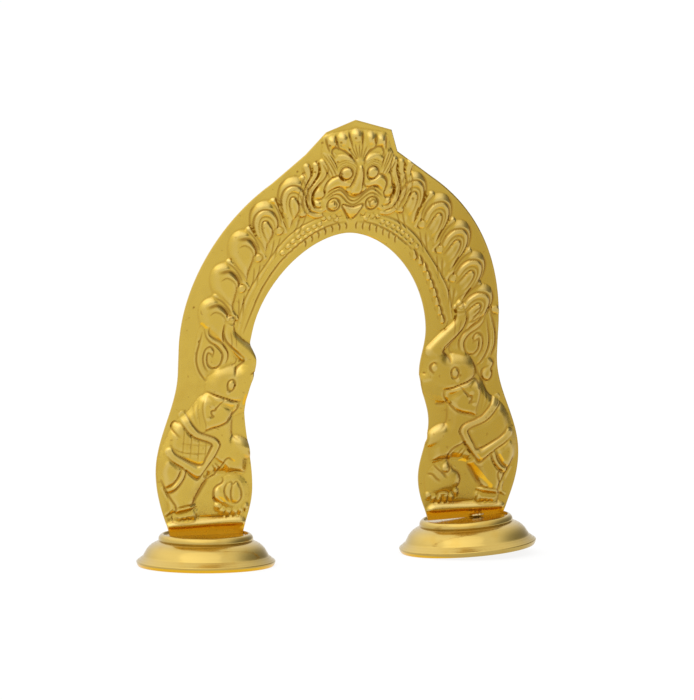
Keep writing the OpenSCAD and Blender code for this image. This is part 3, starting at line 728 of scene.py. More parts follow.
def carve_scroll(r, right):
    """The curling ribbons behind the head; the outermost show on the right only."""
    r.mass([(53, 77), (53, 82), (57, 87), (63, 92), (66, 95.5), (69.5, 93), (71, 84), (71, 77), (67, 70),
            (62, 73)], 0.7, 3)
    r.ridge([(66.2, 94), (65.6, 90.3), (63, 87.8), (59.4, 85.6), (57, 82.6), (56.4, 79.8), (57.2, 76.5),
             (58.2, 75)], 2.8, 0.3)
    r.groove([(65.2, 94), (64.8, 90.8), (62.2, 88.6), (58.4, 86.3), (55.8, 83), (55.1, 80), (55.9, 77)])
    r.groove([(67.2, 93), (66.2, 89.6), (64, 87), (60.8, 84.9), (58.5, 82.4), (57.7, 80), (58.4, 77),
              (59.8, 75.2), (62.4, 75), (64.6, 77), (65.1, 80), (64.6, 82), (63.2, 81.4), (62.2, 80.4)],
             0.9, 0.55)
    r.grooves(0.9, 0.5,
              [(62.2, 80.4), (62.1, 83), (63.8, 84.8), (66, 83.6), (66.9, 80), (66.2, 76.4), (64.2, 73.3)],
              [(68, 91.5), (69.1, 86), (69.9, 82), (69.8, 78), (68.4, 74), (66.2, 70.8), (64.4, 69)])
    r.ball(63.3, 82.6, 1.3, 0.25)
    r.groove([(51.6, 79.6), (50.8, 78), (51.6, 76.4), (53.4, 76)], 0.8, 0.35)
    right.ridge([(69.6, 94), (70.8, 89), (71.6, 84), (71.4, 78.5), (69.6, 73.5)], 2.4, 0.3)
    right.groove([(70, 93.4), (71.9, 88), (73.1, 82.5), (73, 78), (71.5, 73.6)], 1.0, 0.6)
    right.mass([(69, 95), (70, 93.6), (72, 93.2), (73.8, 92.4), (74.2, 94.5), (72.6, 96.9), (70.4, 96.6)],
               0.7, 1.2)
    right.groove([(67.6, 95), (69.4, 96.4), (70, 94.2), (71.6, 93), (73.6, 92.6)], 0.8, 0.5)
    right.mass([(69.3, 73), (72, 71.8), (72.8, 70), (71.9, 67.6), (72.6, 65.5), (71.4, 62.8), (69.4, 62.3),
                (67.5, 64), (67.3, 66), (68.6, 68.5)], 0.8, 1.6)
    right.groove([(70, 69.2), (68.2, 68), (67.4, 65.6), (68.4, 63), (70.6, 62.2), (72.4, 63.6),
                  (72.6, 66.2), (72.2, 67.8), (73, 70), (72.4, 72), (70.8, 73.2)], 0.9, 0.5)
    for shift in (0, 2.4, 4.8):
        right.groove([(59.4 + shift / 3, 90 + shift), (62, 91 + shift), (64.6, 92.4 + shift)], 0.8, 0.4)


def carve_plumes(half, worn):
    """Five plumes up one side, each in its own axes with its tip at 0; the worn ones keep fewer lines."""
    for k, tip in enumerate(PLUME_TIPS):
        r = half.turned(tip, PLUME_TURN + PLUME_STEP * k)
        r.points[:, 0] *= -1
        stop = 4 if k < worn else None
        r.limb([(-4.6, 1), (-7, 7.2), (-10.3, 15.5)], 3.4, 1.4, 1.8, 0.5, 0.8)
        r.mass([(-3.9, 0.9), (0, 0), (3.5, 1.4), (5.7, 5), (6.2, 9.5), (5.2, 13.5), (3.6, 17), (0, 24),
                (-2.5, 20), (-5.5, 15), (-7.5, 11.5), (-7.6, 8.5), (-6.3, 4.5)], 2.1, 4, 0.4)
        r.groove([(-3.6, 0.6), (-6.2, 4.4), (-7.8, 8.6), (-8.4, 12)], 1.0, 0.4)
        r.groove([(-6.3, 0.4), (-7.8, 4.6), (-9.6, 8.6), (-10.9, 12.6)], 0.9, 0.3)
        r.groove([(-7.2, 13), (-6.2, 8.4), (-3.4, 4.8), (1, 3.9), (4.3, 6.5), (5, 11.5), (3.6, 16)][:stop],
                 1.8 if stop else 0.9, 0.5)
        r.groove([(-5.2, 14), (-4, 9.6), (-1.4, 7.2), (1.6, 7.6), (2.8, 11), (2, 16)][:stop], 0.8, 0.35)
        if stop is None:
            r.groove([(3.4, 1.2), (5.9, 4.8), (6.4, 9.4), (5.5, 13.4)], 1.0, 0.35)
            r.ridge([(-6.2, 13.2), (-5.2, 9), (-2.6, 6), (1, 5.4), (3.4, 8), (3.8, 12), (2.8, 16)],
                    1.9, 0.25)
            r.pad([(-4.6, 17), (-2.9, 12), (-0.9, 9.4), (0.8, 10), (0.9, 13), (-0.8, 18), (-3.6, 23)],
                  0.3, 1.0)
            r.groove([(-4.8, 17), (-3.2, 12), (-0.9, 9), (1.1, 9.8), (1.2, 13), (-0.6, 18)], 0.8, 0.5)
        r.ball(*PLUME_KNOB, 1.9, 0.6)
        r.groove(arc(*PLUME_KNOB, 2.0, 60, 330), 0.8, 0.35)
        r.grooves(0.8, 0.35,
                  [(-8, 17.5), (-7, 21), (-5, 27)],
                  [(-5, 18.5), (-4.4, 22), (-3, 27)])


def carve_border(pair, right, left):
    """The band along the opening: two lines, strokes and beads near the crown, and leaves on the right."""
    pair.limb([(-8, 136.8), (0, 137.2), (10, 136), (20, 131.5), (30, 123), (37.5, 112), (42.5, 101),
               (45, 91)], 9, 0.8, power=1)
    outer = [(13, 141.6), (18.5, 140), (24.5, 137), (31, 132), (37, 124.5), (43.5, 115), (48, 107),
             (50.5, 99), (51.6, 93)]
    pair.groove(outer, 0.9, 0.35)
    pair.ridge([(x - 0.8, s - 0.9) for x, s in outer], 1.2, 0.2)
    inner = [(3, 139), (10, 137.6), (17, 134.6), (24, 130), (31, 124), (37, 116.5), (42, 108), (45.5, 99),
             (48.5, 90)]
    left.groove(inner, 0.9, 0.5)
    right.groove(inner[:5], 0.9, 0.4)
    for x, s in ((2.8, 138.8), (6, 138.4), (9.4, 137.6), (12.6, 136.6), (15.8, 135.2), (18.8, 133.6),
                 (21.8, 131.6)):
        pair.groove([(x, s), (x - 0.6, s - 1.6), (x - 0.4, s - 3.4)], 0.8, 0.5)
    for x, s in ((15, 138.4), (17.6, 137.4), (20.4, 136), (22.8, 134.6), (25, 133), (27.4, 131),
                 (29.6, 128.8), (32, 126)):
        pair.ball(x, s, 1.1, 0.4)
        pair.groove(arc(x, s, 1.2, 180, 360), 0.6, 0.3)
        pair.ball(x - 1.5, s - 1.7, 0.9, 0.3)
    for x, s in ((31, 122.6), (33.8, 120), (36.2, 116.8), (38, 113), (39.8, 109), (41.6, 105), (43, 100.8),
                 (44.6, 96.6), (46.2, 92.6)):
        right.pad([(x - 1.2, s - 1.6), (x - 0.4, s + 1.8), (x + 1.2, s - 1.4), (x + 0.2, s - 2.8)],
                  0.8, 0.9)
        right.groove([(x - 0.2, s + 2.4), (x + 1.5, s - 0.2), (x + 1.5, s - 2.8)], 0.9, 0.45)
        right.groove([(x - 2.6, s + 1.2), (x - 1.8, s - 0.8)], 0.8, 0.25)


def carve_ribbons(r):
    """Three ribbons of the mask's mane on each side, lines between them, and a comma and lobes inside."""
    for ribbon in (
            [(17.2, 166.3), (16.7, 161.8), (18.5, 157.8), (20.8, 153.5), (20.8, 149), (18.7, 145.5),
             (15, 144.4), (12.5, 145.8)],
            [(20.3, 165), (20.5, 161), (22.3, 156.8), (23.4, 152), (22.7, 147.5), (20.3, 143.8),
             (16.8, 142.2), (14.5, 142.5)],
            [(24.7, 164.5), (23.8, 160.8), (24.8, 156.8), (25.3, 151.5), (24.3, 147), (22.5, 143.8)]):
        r.limb(ribbon, 3.4, 1.3, 2.4, 1.1, 0.9)
        r.groove(ribbon[1:], 0.6, 0.25)
    r.dome(16.4, 152.4, 3.2, 2.8, 90, 1.6, 1)
    r.dome(16.4, 147.4, 2.5, 2, 60, 1.6, 1)
    r.dome(23.3, 143.3, 2.3, 2.1, 0, 1.4, 1)
    r.grooves(0.9, 0.5,
              [(15.4, 165.8), (14.9, 161.8), (16.7, 157.4), (19, 153.2), (19.1, 149.2), (17.4, 146.2),
               (14.6, 145.6)],
              [(18.8, 165.8), (18.7, 161.4), (20.4, 157.2), (22.1, 152.8), (21.8, 148.2), (19.5, 144.6),
               (15.9, 143.2)],
              [(22.5, 165), (22.1, 160.8), (23.6, 156.8), (24.4, 151.8), (23.6, 147.2), (21.5, 143.6)])
    r.groove([(26.3, 164), (25.4, 160.8), (26.2, 156.8), (26.8, 151.5), (25.6, 146.6)], 0.9, 0.35)
    r.groove([(14.4, 154.2), (14.1, 151.6), (15.4, 149.6), (17.2, 149.4)], 0.8, 0.5)
    r.groove([(21.8, 142.2), (24, 141.6), (25.4, 143.4)], 0.8, 0.4)


def carve_mask(r):
    """The lion mask at the crown, drawn on the distance from its own axis."""
    r.mass([(-16, 174), (-14.5, 178.5), (-8, 180), (0, 181), (8, 180), (14.5, 178.5), (16, 174), (17, 168),
            (19, 160), (17.5, 152), (15.5, 146), (10, 143), (5.5, 143), (3, 141), (-3, 141), (-10, 143),
            (-17, 152)], 1.4, 3.4)
    r.dome(0, 160.5, 17, 15, 0, 3.2, 1)
    r.dome(0, 174.6, 14, 4.6, 0, 1.7, 0.6)
    carve_ribbons(r)
    r.pad([(14.4, 156), (13.2, 158), (11.2, 159.6), (9.6, 159.8), (7.6, 158.5), (5, 157.4), (3, 157),
           (3.3, 154.6), (6, 154.9), (9, 155), (12, 153.6), (13.8, 152)], 0.7, 1.3)
    r.groove([(14.3, 152.4), (14.8, 155), (13.6, 158.2), (11.2, 160.1), (9.4, 160.3), (7.4, 159)], 0.9, 0.5)
    r.ball(*EYE, 2.6, 0.8)
    r.ring(*EYE, 2.9, 0.9, 0.55)
    for radius, start in ((3.9, 15), (4.9, 22), (5.9, 30)):
        r.groove(arc(*EYE, radius, start, 165), 0.6, 0.3)
    r.pad([(-1, 164.3), (0, 165), (1, 164.3), (1.8, 160), (2.3, 156.5), (3, 153.6), (2, 151.6), (0, 151.1),
           (-2, 151.6), (-3, 153.6), (-2.3, 156.5), (-1.8, 160)], 1.1, 1.6)
    r.groove([(1.6, 164.6), (2.1, 160), (2.6, 157), (3.6, 155.5), (4.9, 154.8)], 0.9, 0.5)
    r.groove([(2.9, 152.2), (4.2, 152.6), (4.9, 153.8)], 0.8, 0.4)
    r.ball(3.7, 153.8, 1.1, 0.4)
    r.pad([(12, 171.2), (11, 172.4), (9.6, 172.6), (7, 171.4), (4.5, 169.6), (2.9, 167.6), (5, 168.6),
           (7.5, 169.6), (10, 169.6)], -0.3, 0.6)
    r.groove([(11.2, 168.2), (12.2, 170.2), (12, 171.8), (11, 172.7), (9.6, 172.8), (7, 171.6),
              (4.5, 169.8), (2.9, 167.8), (1.5, 165.5)], 0.9, 0.6)
    r.ridge([(10.6, 167.4), (8.6, 168.6), (6, 168.2), (3.8, 166.6)], 2.4, 0.35)
    for turn in (6, 17, 29, 42):
        c, n = np.cos(np.radians(turn)), np.sin(np.radians(turn))
        r.groove([(3 * n, BROW + 3 * c), (9.6 * n, BROW + 9.6 * c)], 0.7, 0.4)
    for x, s, long, wide in ((0, 177.4, 3.8, 3), (6.6, 176.2, 3.6, 2.8), (11.6, 175.2, 3.2, 2.5)):
        r.dome(x, s, long, wide, 90, 2.6, 0.9)
        r.groove([(x + wide + 0.3, s + 2.2), (x + wide, s - 0.6), (x + wide - 0.8, s - 4)], 0.9, 0.55)
    r.pad([(16.9, 171), (14.4, 170.8), (12.2, 168), (10.6, 163), (10.4, 160), (12.4, 159.6), (15.2, 162),
           (17.4, 166.5)], 0.4, 1.0)
    r.grooves(0.7, 0.4,
              [(16.8, 170.6), (14.5, 167), (12, 162.6), (10.8, 160.2)],
              [(15, 170.4), (13, 166.6), (11.2, 162.8)],
              [(17, 168.4), (14.6, 164.2), (12.2, 159.8)],
              [(17.4, 166), (15.6, 162.6), (13.8, 160)],
              [(13.2, 169.8), (11.6, 166.6), (10.4, 163.6)])
    r.groove([(-2.8, 151.2), (0, 150.2), (2.8, 151.2), (4.6, 152.9), (6.4, 154.4), (8.4, 155),
              (10.6, 154.2), (12.8, 152.6)], 0.8, 0.5)
    r.groove([(-2.2, 149.4), (0, 148.5), (2.2, 149.4), (4.2, 151.4), (6.2, 153.2), (8, 153.8), (10, 153),
              (12, 151.5), (13.6, 150.2)], 0.8, 0.55)
    r.groove([(-2.4, 147.8), (0, 146.9), (2.4, 147.8), (4.6, 149.8), (6.6, 151.4), (8.6, 151.8),
              (10.6, 151), (12.4, 149.8)], 0.8, 0.5)
    r.dome(*CURL, 3.1, 2.9, 0, 2.4, 0.6)
    r.ring(*CURL, 3.0, 0.9, 0.55)
    r.groove([(10.9, 147.9), (9.3, 148.7), (7.8, 147.5), (8.2, 145.8), (9.8, 145.8)], 0.8, 0.45)
    r.pad([(-4.9, 146.6), (0, 145.7), (4.9, 146.6), (3.4, 143.4), (1.4, 140.8), (0, 140.3), (-1.4, 140.8),
           (-3.4, 143.4)], 0.6, 1.2)
    r.groove([(-4.9, 146.9), (0, 145.9), (4.9, 146.9), (3.5, 143.4), (1.4, 140.6), (0, 140.1)], 0.9, 0.5)
    for x, s in ((5.6, 142.4), (8, 141.6), (10.4, 141), (13, 140.8), (7, 140.2)):
        r.ball(x, s, 1.1, 0.4)
        r.groove(arc(x, s, 1.2, 190, 350), 0.6, 0.3)


def stamped_relief(x, s):
    """The relief over flat points: height in millimetres, then tarnish with painted shade and painted warm
    reflection, from 0 to 1.
    """
    flat_x, flat_s = x.ravel(), s.ravel()
    layers = np.zeros((3, x.size))
    across = np.abs(flat_x - STAMP_SHIFT * share(flat_s, SHIFT_FROM, SHIFT_TO))
    mask_shift = MASK_LEAST + MASK_SWAY * np.exp(-((flat_s - MASK_HEIGHT) / MASK_REACH) ** 2)
    pair = Relief(across, flat_s, layers)
    right = Relief(across, flat_s, layers, flat_x > 0)
    left = Relief(across, flat_s, layers, flat_x < 0)
    carve_plumes(left, 3)
    carve_plumes(right, 0)
    carve_border(pair, right, left)
    carve_scroll(pair, right)
    carve_elephant(pair, right)
    carve_saddle(pair, left)
    carve_legs(pair, right, left)
    carve_lotus(pair, right, left)
    carve_mask(Relief(np.abs(flat_x - mask_shift), flat_s, layers))
    for half, side in ((right, RIGHT), (left, LEFT)):
        for width, *line in REFLECTION_STREAKS[side]:
            half.reflection_streak(line, width)
    whole = Relief(flat_x, flat_s, layers)
    for place in PITS:
        whole.ring(*place, 0, PIT_WIDTH, PIT_DEPTH)
    layers *= share(flat_s, FADE_FROM, FADE_TO)
    # The foot strip below the ledge gets painted warm reflection of the dish
    whole.warm_reflection[:] = np.maximum(whole.warm_reflection, share(flat_s, FOOT_MARGIN, FOOT_MARGIN - 1))
    return layers.reshape(3, *x.shape)


def crest_and_hollow(h):
    """0.5 on a flat, more on a crest and less in a hollow: the height above the mean of the neighbours."""
    mean = h
    for step in (1, 2):
        wide = np.pad(mean, ((step, step), (step, step)), mode="edge")
        rows, columns = h.shape
        mean = sum(wide[i * step:i * step + rows, j * step:j * step + columns]
                   for i in (0, 1, 2) for j in (0, 1, 2)) / 9
    return np.clip(0.5 + (h - mean) / CREST_RANGE, 0, 1)


def upward(front):
    """How far the front faces up, from 0 to 1: half the vertical part of its normal, plus a half."""
    normal = np.cross(np.gradient(front, axis=0), np.gradient(front, axis=1))
    normal *= -np.sign(normal[..., 1:2])
    return 0.5 + 0.5 * normal[..., 2] / np.linalg.norm(normal, axis=-1)


def lowest_around(h, step):
    """The least height within a step either way, so that a coarse back never breaks through the front."""
    for axis in (0, 1):
        pad = [(step, step) if k == axis else (0, 0) for k in (0, 1)]
        wide = np.pad(h, pad, mode="edge")
        h = np.lib.stride_tricks.sliding_window_view(wide, 2 * step + 1, axis=axis).min(-1)
    return h


def grid_faces(rows, columns, first, flip):
    """Quads over a grid of points numbered row by row from first."""
    i = np.arange(rows - 1)[:, None] * columns + np.arange(columns - 1) + first
    quads = np.stack([i, i + 1, i + columns + 1, i + columns], axis=-1).reshape(-1, 4)
    return quads[:, ::-1] if flip else quads


def grid_rim(rows, columns):
    """Numbers of a grid's edge points, once round."""
    i = np.arange(rows * columns).reshape(rows, columns)
    return np.concatenate([i[0, :-1], i[:-1, -1], i[-1, :0:-1], i[:0:-1, 0]])


def closed_sheet(front, back):
    """Points and faces of a front grid, a back grid half as fine and the strip that closes their rims.

    A face of the strip takes two steps of the front's rim and one of the back's.
    """
    rows, columns = front.shape[:2]
    far = rows * columns
    rim, far_rim = grid_rim(rows, columns), grid_rim(*back.shape[:2]) + far
    turn, far_turn = np.roll(rim, -2), np.roll(far_rim, -1)
    strip = np.stack([rim[1::2], turn[::2], far_turn, far_rim, rim[::2]], axis=1)
    faces = [grid_faces(rows, columns, 0, True), grid_faces(*back.shape[:2], far, False), strip]
    return np.concatenate([front.reshape(-1, 3), back.reshape(-1, 3)]), faces


def swept_faces(rows, columns):
    """Quads over a grid of points that closes on itself from the last column to the first."""
    i = np.arange(rows - 1)[:, None] * columns
    j = np.arange(columns)
    k = (j + 1) % columns
    return np.stack([i + j, i + columns + j, i + columns + k, i + k], axis=-1).reshape(-1, 4)


def new_piece(name, points, faces, form, node, material):
    """A smooth closed mesh at the origin that stands for a CAD node and rides on the root body.

    The form of each point goes with it as an attribute, and points that coincide are welded.
    """
    mesh = bpy.data.meshes.new(name)
    mesh.from_pydata(points.reshape(-1, 3), [], [f for block in faces for f in block.tolist()])
    values = mesh.attributes.new("form", "FLOAT_VECTOR", "POINT")
    values.data.foreach_set("vector", form.astype(np.float32).ravel())
    welded = bmesh.new()
    welded.from_mesh(mesh)
    bmesh.ops.remove_doubles(welded, verts=welded.verts, dist=WELD)
    welded.to_mesh(mesh)
    welded.free()
    mesh.polygons.foreach_set("use_smooth", np.ones(len(mesh.polygons), bool))
    mesh.set_sharp_from_angle(angle=SHARP)
    mesh.materials.append(material)
    mesh.update()
    piece = bpy.data.objects.new(name, mesh)
    bpy.context.scene.collection.objects.link(piece)
    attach(piece, "root")
    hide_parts(node)


def new_material(name):
    """A node material, its node tree and its shader."""
    material = bpy.data.materials.new(name)
    material.use_nodes = True
    return material, material.node_tree, material.node_tree.nodes["Principled BSDF"]


def feed(tree, node, inputs):
    """Links each named input of a node to a socket, or sets it to a constant."""
    for key, value in inputs.items():
        if isinstance(value, bpy.types.NodeSocket):
            tree.links.new(value, node.inputs[key])
        else:
            node.inputs[key].default_value = value


def add_node(tree, kind, inputs, **settings):
    """The outputs of a new shader node with its settings and inputs."""
    node = tree.nodes.new(kind)
    for key, value in settings.items():
        setattr(node, key, value)
    feed(tree, node, inputs)
    return node.outputs


def split(tree, vector):
    """The X, Y and Z of a vector."""
    return add_node(tree, "ShaderNodeSeparateXYZ", {0: vector})


def coordinates(tree, kind):
    """A vector of texture coordinates."""
    return add_node(tree, "ShaderNodeTexCoord", {})[kind]


def form_parts(tree):
    """The three numbers of the form attribute."""
    return split(tree, add_node(tree, "ShaderNodeAttribute", {}, attribute_name="form")["Vector"])


def combine(tree, operation, first, second):
    """A sum, product or the like of two numbers."""
    return add_node(tree, "ShaderNodeMath", {0: first, 1: second}, operation=operation)[0]


def ramp(tree, value, low, high, first, last):
    """A smooth step from first to last as value runs from low to high."""
    ends = {"Value": value, "From Min": low, "From Max": high, "To Min": first, "To Max": last}
    return add_node(tree, "ShaderNodeMapRange", ends, interpolation_type="SMOOTHSTEP")["Result"]


def tints(tree, color, *rows):
    """A colour mixed by rows of (value, low, high, most, end): none of end at low, most of it at high."""
    color = (*color, 1)
    for value, low, high, most, end in rows:
        factor = ramp(tree, value, low, high, 0, most)
        colors = {"Factor": factor, MIX_START: color, MIX_END: (*end, 1)}
        color = add_node(tree, "ShaderNodeMix", colors, data_type="RGBA")[MIX_RESULT]
    return color


def noise(tree, scale, detail, along=None):
    """Noise from 0 to 1 over the object's own coordinates, or along one number."""
    inputs = {"Scale": scale, "Detail": detail}
    if along is None:
        inputs["Vector"] = coordinates(tree, "Object")
    else:
        inputs["W"] = along
    dimensions = "3D" if along is None else "1D"
    return add_node(tree, "ShaderNodeTexNoise", inputs, noise_dimensions=dimensions)["Fac"]


def bumps(tree, height, depth):
    """A fine unevenness of the surface, from a height from 0 to 1 and its depth in metres."""
    return add_node(tree, "ShaderNodeBump", {"Strength": 1, "Distance": depth, "Height": height})[0]


def stamped_brass(finish):
    """Lacquered sheet brass: painted shade to the right, crests pale by wear and painted highlight, painted
    reflection below, tarnish and painted shade in lines.
    """
    material, tree, shader = new_material("stamped_brass")
    crest, facing, stain = form_parts(tree)
    across = split(tree, coordinates(tree, "Object"))["X"]
    polish = finish.sheet_roughness
    feed(tree, shader, {
        "Base Color": tints(
            tree, finish.sheet_color,
            # Painted shade that grows towards the right
            (across, 5 * MM, 65 * MM, 0.6, finish.painted_right_shade_color),
            (noise(tree, 90, 4), 0.5, 0.75, 0.25, finish.tarnish_and_hollow_shade_color),
            # Crests pale from wear and painted highlight; faces turned up pale from painted highlight
            (crest, 0.54, 0.85, 0.4, finish.wear_and_highlight_color),
            (facing, 0.56, 0.8, 0.5, finish.wear_and_highlight_color),
            # Painted shade in the hollows of the relief
            (crest, 0.47, 0.2, 0.35, finish.tarnish_and_hollow_shade_color),
            # Painted warm reflection where a face turns down
            (facing, 0.29, 0.16, 0.85, finish.painted_reflection_color),
            (noise(tree, 480, 1), 0.7, 0.76, 0.4, finish.stain_color),
            # Tarnish and painted shade in the stamped lines, by their depth
            (stain, 0.1, 0.85, 0.8, finish.stain_color)),
        "Roughness": ramp(tree, noise(tree, 150, 3), 0.35, 0.65, polish - 0.06, polish + 0.06),
        "Normal": bumps(tree, noise(tree, 700, 2), 0.05 * MM),
        "Metallic": 1,
        "Coat Weight": 0.35,
        "Coat Roughness": 0.12})
    return material


def turned_brass(finish):
    """Polished turned brass with fine rings from the tool; its form is the distance along the profile."""
    material, tree, shader = new_material("turned_brass")
    rings = noise(tree, 0.7, 4, form_parts(tree)[0])
    level = split(tree, coordinates(tree, "Object"))["Z"]
    polish = finish.base_roughness
    feed(tree, shader, {
        "Base Color": tints(
            tree, finish.base_color,
            (rings, 0.5, 0.7, 0.1, finish.tarnish_and_hollow_shade_color),
            (noise(tree, 120, 4), 0.5, 0.75, 0.3, finish.tarnish_and_hollow_shade_color),
            # Painted warm reflection under the lip
            (level, 1.7 * MM, 0.9 * MM, 0.8, finish.painted_reflection_color)),
        "Roughness": ramp(tree, rings, 0.3, 0.7, polish - 0.05, polish + 0.07),
        "Normal": bumps(tree, rings, 0.015 * MM),
        "Metallic": 1})
    return material


def lumpy_solder(finish):
    """Dull solder, uneven and a little tarnished."""
    material, tree, shader = new_material("lumpy_solder")
    cloud = noise(tree, 300, 4)
    feed(tree, shader, {
        "Base Color": tints(tree, finish.solder_color, (cloud, 0.4, 0.7, 0.6, finish.tarnish_and_hollow_shade_color)),
        "Roughness": ramp(tree, cloud, 0.3, 0.7, 0.35, 0.55),
        "Normal": bumps(tree, noise(tree, 900, 3), 0.15 * MM),
        "Metallic": 1})
    return material


class PRABHAVALI_OT_sheet(bpy.types.Operator):
    """Stamp the arch from one sheet and stand it on the bases"""

    bl_idname = "prabhavali.sheet"
    bl_label = "Stamp arch sheet"

    def execute(self, context):
        size, bases = context.scene.prabhavali_sheet, context.scene.prabhavali_bases
        f = np.linspace(0, 1, COLUMNS + 1)
        x, s = flat_sheet(size, bases, f)
        h, stain, warm_reflection = stamped_relief(x, s)
        edge = np.maximum(share(f, ROLL_FROM, 1), INNER_ROLL * share(f, 1 - ROLL_FROM, 0))
        roll = size.edge_roll / MM * edge ** 2 * share(s, FOOT_MARGIN, 2 * FOOT_MARGIN)
        h = size.relief * h - roll
        s = s - ROLL_DROP * roll * np.tan(size.lean)
        front = stand(size, bases, x, s, h)
        behind = stand(size, bases, x, s, lowest_around(h, BACK_STEP))
        back = behind[::BACK_STEP, ::BACK_STEP] + (0, size.thickness, 0)
        points, faces = closed_sheet(front, back)
        form = np.tile(BACK_FORM, (len(points), 1))
        # Faces turned up take painted highlight and faces turned down painted warm reflection, pulled
        # further by the streaks
        facing = upward(front) - REFLECTION_PULL * warm_reflection
        form[:x.size] = np.stack([crest_and_hollow(h), facing, stain], axis=-1).reshape(-1, 3)
        new_piece("arch_sheet_stamped", points, faces, form, "arch_sheet",
                  stamped_brass(context.scene.prabhavali_finish))
        return {"FINISHED"}


def base_profile(bases):
    """A base's outline as (radius, height): dish, collar, bulging dome and lip, then the hollow inside."""
    top, fall = bases.height, bases.collar_height
    width = COLLAR_ROUND * fall
    middle = bases.collar_radius - width
    a = np.linspace(0, np.pi / 2, COLLAR_STEPS)
    collar = np.stack([middle + width * np.sin(a), top - COLLAR_FALL * fall * (1 - np.cos(a))], axis=1)
    neck = np.array([bases.collar_radius - NECK_INSET, top - NECK_FALL * fall])
    run = DOME_FOOT - neck
    out = np.array([-run[1], run[0]]) / np.hypot(*run)
    f = np.linspace(0, 1, DOME_STEPS)[:, None]
    dome = neck + run * f + out * np.sin(np.pi * f) * DOME_BULGE
    lip = curve([DOME_FOOT, *LIP_TOP, (bases.lip_radius, LIP_LEVEL), LIP_UNDER, (bases.rest_radius, 0)])
    lip[:, 0] = np.minimum(lip[:, 0], bases.lip_radius)
    dish = top - bases.dish_depth
    roof = dish - bases.wall
    hollow = (dome - out * bases.wall)[::-1]
    hollow = hollow[hollow[:, 1] < roof - bases.wall / 2]
    return np.concatenate([
        [[0, dish], [middle - bases.dish_depth / 2, dish], [middle - RIM_INSET, top - RIM_DROP]],
        collar, dome, lip[1:],
        [[bases.rest_radius - bases.wall, 0]], hollow,
        [[neck[0] - 2 * bases.wall, roof], [0, roof]]])


class PRABHAVALI_OT_bases(bpy.types.Operator):
    """Turn the two bases"""

    bl_idname = "prabhavali.bases"
    bl_label = "Turn bases"

    def execute(self, context):
        bases = context.scene.prabhavali_bases
        material = turned_brass(context.scene.prabhavali_finish)
        profile = base_profile(bases)
        along = np.concatenate([[0], np.cumsum(np.hypot(*np.diff(profile, axis=0).T))]) / MM
        a = np.linspace(0, 2 * np.pi, BASE_COLUMNS, endpoint=False)
        r, z = profile[:, 0, None], profile[:, 1, None]
        level = np.stack([r * np.cos(a), r * np.sin(a), z + 0 * a], axis=-1)
        form = np.zeros_like(level)
        form[..., 0] = along[:, None]
        faces = [swept_faces(*level.shape[:2])]
        for side, node in ((LEFT, "left_base"), (RIGHT, "right_base")):
            cant = bases.cant if side == RIGHT else 0.0
            x, y, z = np.moveaxis(level, -1, 0)
            points = np.stack([
                side * bases.spacing + x * np.cos(cant) - z * np.sin(cant), y,
                bases.rest_radius * np.sin(cant) + x * np.sin(cant) + z * np.cos(cant)], axis=-1)
            new_piece(node + "_turned", points, faces, form, node, material)
        return {"FINISHED"}


def solder_bead(low, high, slope, blunt):
    """A lumpy bead that fills a box: an ellipse swept along x, less sines, times sqrt(1 - |w|^blunt)."""
    w = np.cos(np.linspace(np.pi, 0, SOLDER_ROWS))[:, None]
    a = np.linspace(0, 2 * np.pi, SOLDER_COLUMNS, endpoint=False)
    half = (high - low) / 2
    middle = (high + low) / 2
    climb = slope * half[0] * w
    lump = 1 - LONG_LUMP * (1 + np.sin(LONG_WAVES * w + 1))
    lump = lump - SHORT_LUMP * (1 + np.sin(SHORT_WAVES * w + 2 * a))
    lump = lump * np.sqrt(np.clip(1 - np.abs(w) ** blunt, 0, None))
    y = middle[1] + half[1] * lump * np.cos(a)
    z = middle[2] + climb + (half[2] - slope * half[0]) * lump * np.sin(a)
    return np.stack([middle[0] + half[0] * w + 0 * a, y, z], axis=-1)


class PRABHAVALI_OT_solder(bpy.types.Operator):
    """Run solder behind the feet, and a drop of it in front of the right one"""

    bl_idname = "prabhavali.solder"
    bl_label = "Run solder"

    def execute(self, context):
        bases = context.scene.prabhavali_bases
        material = lumpy_solder(context.scene.prabhavali_finish)
        for node, side, blunt in (("left_rear_solder", LEFT, 6), ("right_rear_solder", RIGHT, 6),
                                  ("right_front_solder", RIGHT, 2)):
            low, high = np.array(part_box(node))
            points = solder_bead(low, high, seat(bases, side)[2], blunt)
            faces = swept_faces(*points.shape[:2])[:, ::-1]
            new_piece(node + "_run", points, [faces], np.zeros_like(points), node, material)
        return {"FINISHED"}


def facing_along(direction):
    """Turn of a camera or a lamp that looks along a direction."""
    return direction.to_track_quat("-Z", "Y").to_euler()


